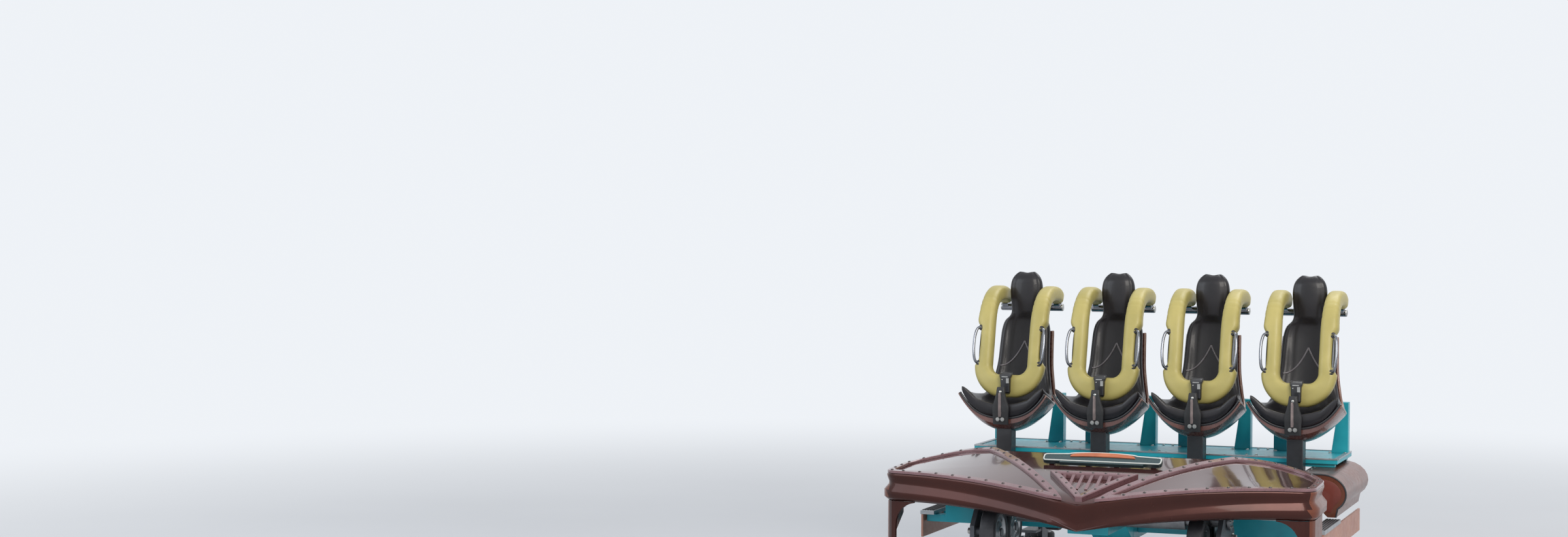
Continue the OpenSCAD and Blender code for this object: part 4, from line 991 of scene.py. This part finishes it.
def fender_outline(inset, full=True):
    """Section of a fender, moved inwards: closed, or only its run over the top and the outer side."""
    x0, z0 = FENDER_HALF - SHOULDER_X, FENDER_TOP - SHOULDER_Z
    points = [(FENDER_IN + inset, FENDER_TOP - inset), (x0, FENDER_TOP - inset)]
    for a in (radians(80 - 8 * k) for k in range(17)):
        points.append((x0 + (SHOULDER_X - inset) * cos(a), z0 + (SHOULDER_Z - inset) * sin(a)))
    points.append((FENDER_HALF - 0.060 - inset, FENDER_FOOT + inset))
    if full:
        points += [(FENDER_HALF - 0.110 - 0.3 * inset, FENDER_FOOT + inset), (x0, TRAY_Z + inset),
                   (FENDER_IN + inset, TRAY_Z + inset)]
    return points


def add_fender_trim():
    low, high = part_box("rear_fenders")
    front = low.y
    bm = bmesh.new()
    for s in (-1, 1):
        tube(bm, [(s * x, front + 0.001, z) for x, z in fender_outline(0.001, False)], 0.0055, 8)
    trim("fender_lines", bm, 0.9, "black_paint")
    # Plates on the fenders' fronts in a darker copy of the copper paint: painted shade on the faces turned
    # from the light
    bm = bmesh.new()
    for s in (-1, 1):
        grid(bm, [[(s * x, front + off, z) for x, z in fender_outline(inset)]
                  for off, inset in ((0.002, 0.030), (-0.0015, 0.030), (-0.003, 0.034))], caps="fan")
    trim("fender_shaded_faces", bm, 0.5, "fender_shade_paint")
    bm = bmesh.new()
    tree = tree_of(frame["nodes"]["rear_fenders"].data)
    for s in (-1, 1):
        for x in FENDER_BOLTS_X:
            bolt(bm, (s * x, front - 0.0028, FENDER_BOLTS_Z), (0, -1, 0), 0.006)
        for k in range(8):
            y = front + FENDER_RIVETS_IN + k * (high.y - front - 2 * FENDER_RIVETS_IN) / 7
            rivet_on(bm, tree, s * FENDER_RIVETS_X, y, 0.006, 0.5)
    trim("fender_bolts", bm)


add_deck_trim()
add_tray_trim()
add_fender_trim()


# Hinge ears, pylons, carriers and axles
BOLT_CIRCLE, EAR_FACE = 0.034, 0.0112
CAP_PROFILE = [(0.001, 0.010), (0.010, 0.010), (0.0235, 0.006), (0.025, 0.0)]
AXLE_Y, AXLE_Z = (-1.075, 0.300), 0.613
# Outer face of the carriers' plates, and their nuts and bolts: y off the middle, z, radius and head height
CARRIER_FACE = 0.714 + 0.028
CARRIER_BOLTS = [(0.158, 0.501, 0.020, 0.9), (0.102, 0.090, 0.016, 0.9),
                 (0.045, 0.30, 0.009, 0.6), (0.045, 0.40, 0.009, 0.6)]


def circle(x, y, z):
    """Places of six bolts round a place, in the side view."""
    return [(x, y + BOLT_CIRCLE * cos(a), z + BOLT_CIRCLE * sin(a))
            for a in turn_angles(6)]


def add_pivot_hardware():
    bm = bmesh.new()
    y = PIVOT_Y + SHIFT
    for x in SEAT_X:
        for s in (-1, 1):
            for side in (-1, 1):
                for spot in circle(x + s * EAR_X + side * EAR_FACE, y, PIVOT_Z):
                    rivet(bm, spot, (side, 0, 0), 0.0042, 0.7)
    trim("ear_bolts", bm)
    for i, x in enumerate(SEAT_X, 1):
        bm = bmesh.new()
        for s in (-1, 1):
            lathe(bm, CAP_PROFILE, (x + s * (ARM_X + 0.030), y, PIVOT_Z), (s, 0, 0), 28)
            for dz in (0.028, 0.062):
                bolt(bm, (x + s * (ARM_X + 0.018), y - 0.006, PIVOT_Z + dz), (s, 0, 0), 0.007)
        trim(f"hinge_caps_{i}", bm, body=f"restraint_{i}")


def add_carrier_hardware():
    for corner in CORNERS:
        s = -1 if "left" in corner else 1
        low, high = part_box("carrier_" + corner)
        middle = (low.y + high.y) / 2
        bm = bmesh.new()
        for dy, z, radius, head in CARRIER_BOLTS:
            for end in (-1, 1):
                bolt(bm, (s * CARRIER_FACE, middle + end * dy, z), (s, 0, 0), radius, head)
        trim("carrier_nuts_" + corner, bm, body="carrier_" + corner)
    low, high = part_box("axles")
    bm = bmesh.new()
    for y in AXLE_Y:
        for s in (-1, 1):
            for spot in circle(s * high.x, y + SHIFT, AXLE_Z):
                bolt(bm, spot, (s, 0, 0), 0.0065)
    trim("axle_cap_bolts", bm)


add_pivot_hardware()
add_carrier_hardware()


# Floor, world and lamps
BACKDROP, SKY, SKY_STRENGTH = (0.86, 0.89, 0.93, 1), (0.84, 0.88, 0.94, 1), 0.55
FLOOR_DARK, FLOOR_LIGHT, FLOOR_HALF = (0.60, 0.61, 0.63, 1), (0.64, 0.65, 0.67, 1), 80
FADE_FROM, FADE_TO = 2.5, 14.0
AIM = Vector((0, 0, 0.9))
# Lamps: name, place, size, energy and colour
LAMPS = [("key", (5, -7, 7), 5, 620, (1.0, 0.95, 0.88)), ("fill", (-7, -6, 5), 6, 260, (0.85, 0.92, 1.0)),
         ("back", (2, 5, 9), 5, 300, (1, 1, 1))]


def seen_directly(tree):
    """1 for rays from the camera and for what gloss and glass show, and 0 for light on the object."""
    path = tree.nodes.new("ShaderNodeLightPath")
    total = path.outputs["Is Camera Ray"]
    for name in ("Is Glossy Ray", "Is Transmission Ray"):
        join = tree.nodes.new("ShaderNodeMath")
        join.operation = "MAXIMUM"
        tree.links.new(total, join.inputs[0])
        tree.links.new(path.outputs[name], join.inputs[1])
        total = join.outputs["Value"]
    return total


def floor_material():
    """Pale floor that fades into the backdrop's colour away from the car and keeps the shadow near it."""
    n = Nodes("studio_floor")
    n.link(n.ramp(n.noise(0.4), FLOOR_DARK, FLOOR_LIGHT), n.shader.inputs["Base Color"])
    fill(n.shader, Roughness=0.75)
    length = n.add("ShaderNodeVectorMath", operation="LENGTH")
    n.link(n.where, length.inputs[0])
    fade = n.add("ShaderNodeMapRange", interpolation_type="SMOOTHSTEP")
    fill(fade, From_Min=FADE_FROM, From_Max=FADE_TO)
    n.link(length.outputs["Value"], fade.inputs["Value"])
    share = n.add("ShaderNodeMath", operation="MULTIPLY")
    n.link(fade.outputs["Result"], share.inputs[0])
    n.link(seen_directly(n.tree), share.inputs[1])
    glow = fill(n.add("ShaderNodeEmission"), Color=BACKDROP)
    mix = n.add("ShaderNodeMixShader")
    n.link(share.outputs["Value"], mix.inputs["Fac"])
    n.link(n.shader.outputs["BSDF"], mix.inputs[1])
    n.link(glow.outputs["Emission"], mix.inputs[2])
    n.link(mix.outputs["Shader"], n.tree.nodes["Material Output"].inputs["Surface"])
    return n.material


def make_stage():
    mesh = bpy.data.meshes.new("floor")
    r = FLOOR_HALF
    mesh.from_pydata([(-r, -r, 0), (r, -r, 0), (r, r, 0), (-r, r, 0)], [], [(0, 1, 2, 3)])
    mesh.materials.append(floor_material())
    new_object("floor", mesh)
    world = bpy.data.worlds.new("studio")
    bpy.context.scene.world = world
    world.use_nodes = True
    tree = world.node_tree
    light = fill(tree.nodes["Background"], Color=SKY, Strength=SKY_STRENGTH)
    plain = fill(tree.nodes.new("ShaderNodeBackground"), Color=BACKDROP)
    mix = tree.nodes.new("ShaderNodeMixShader")
    tree.links.new(seen_directly(tree), mix.inputs["Fac"])
    tree.links.new(light.outputs["Background"], mix.inputs[1])
    tree.links.new(plain.outputs["Background"], mix.inputs[2])
    tree.links.new(mix.outputs["Shader"], tree.nodes["World Output"].inputs["Surface"])
    for name, at, size, energy, colour in LAMPS:
        data = bpy.data.lights.new(name, "AREA")
        data.size, data.energy, data.color = size, energy, colour
        lamp = new_object(name, data)
        lamp.location = at
        lamp.rotation_euler = (AIM - Vector(at)).to_track_quat("-Z", "Y").to_euler()
    bpy.context.scene.view_settings.view_transform = "Standard"


make_stage()
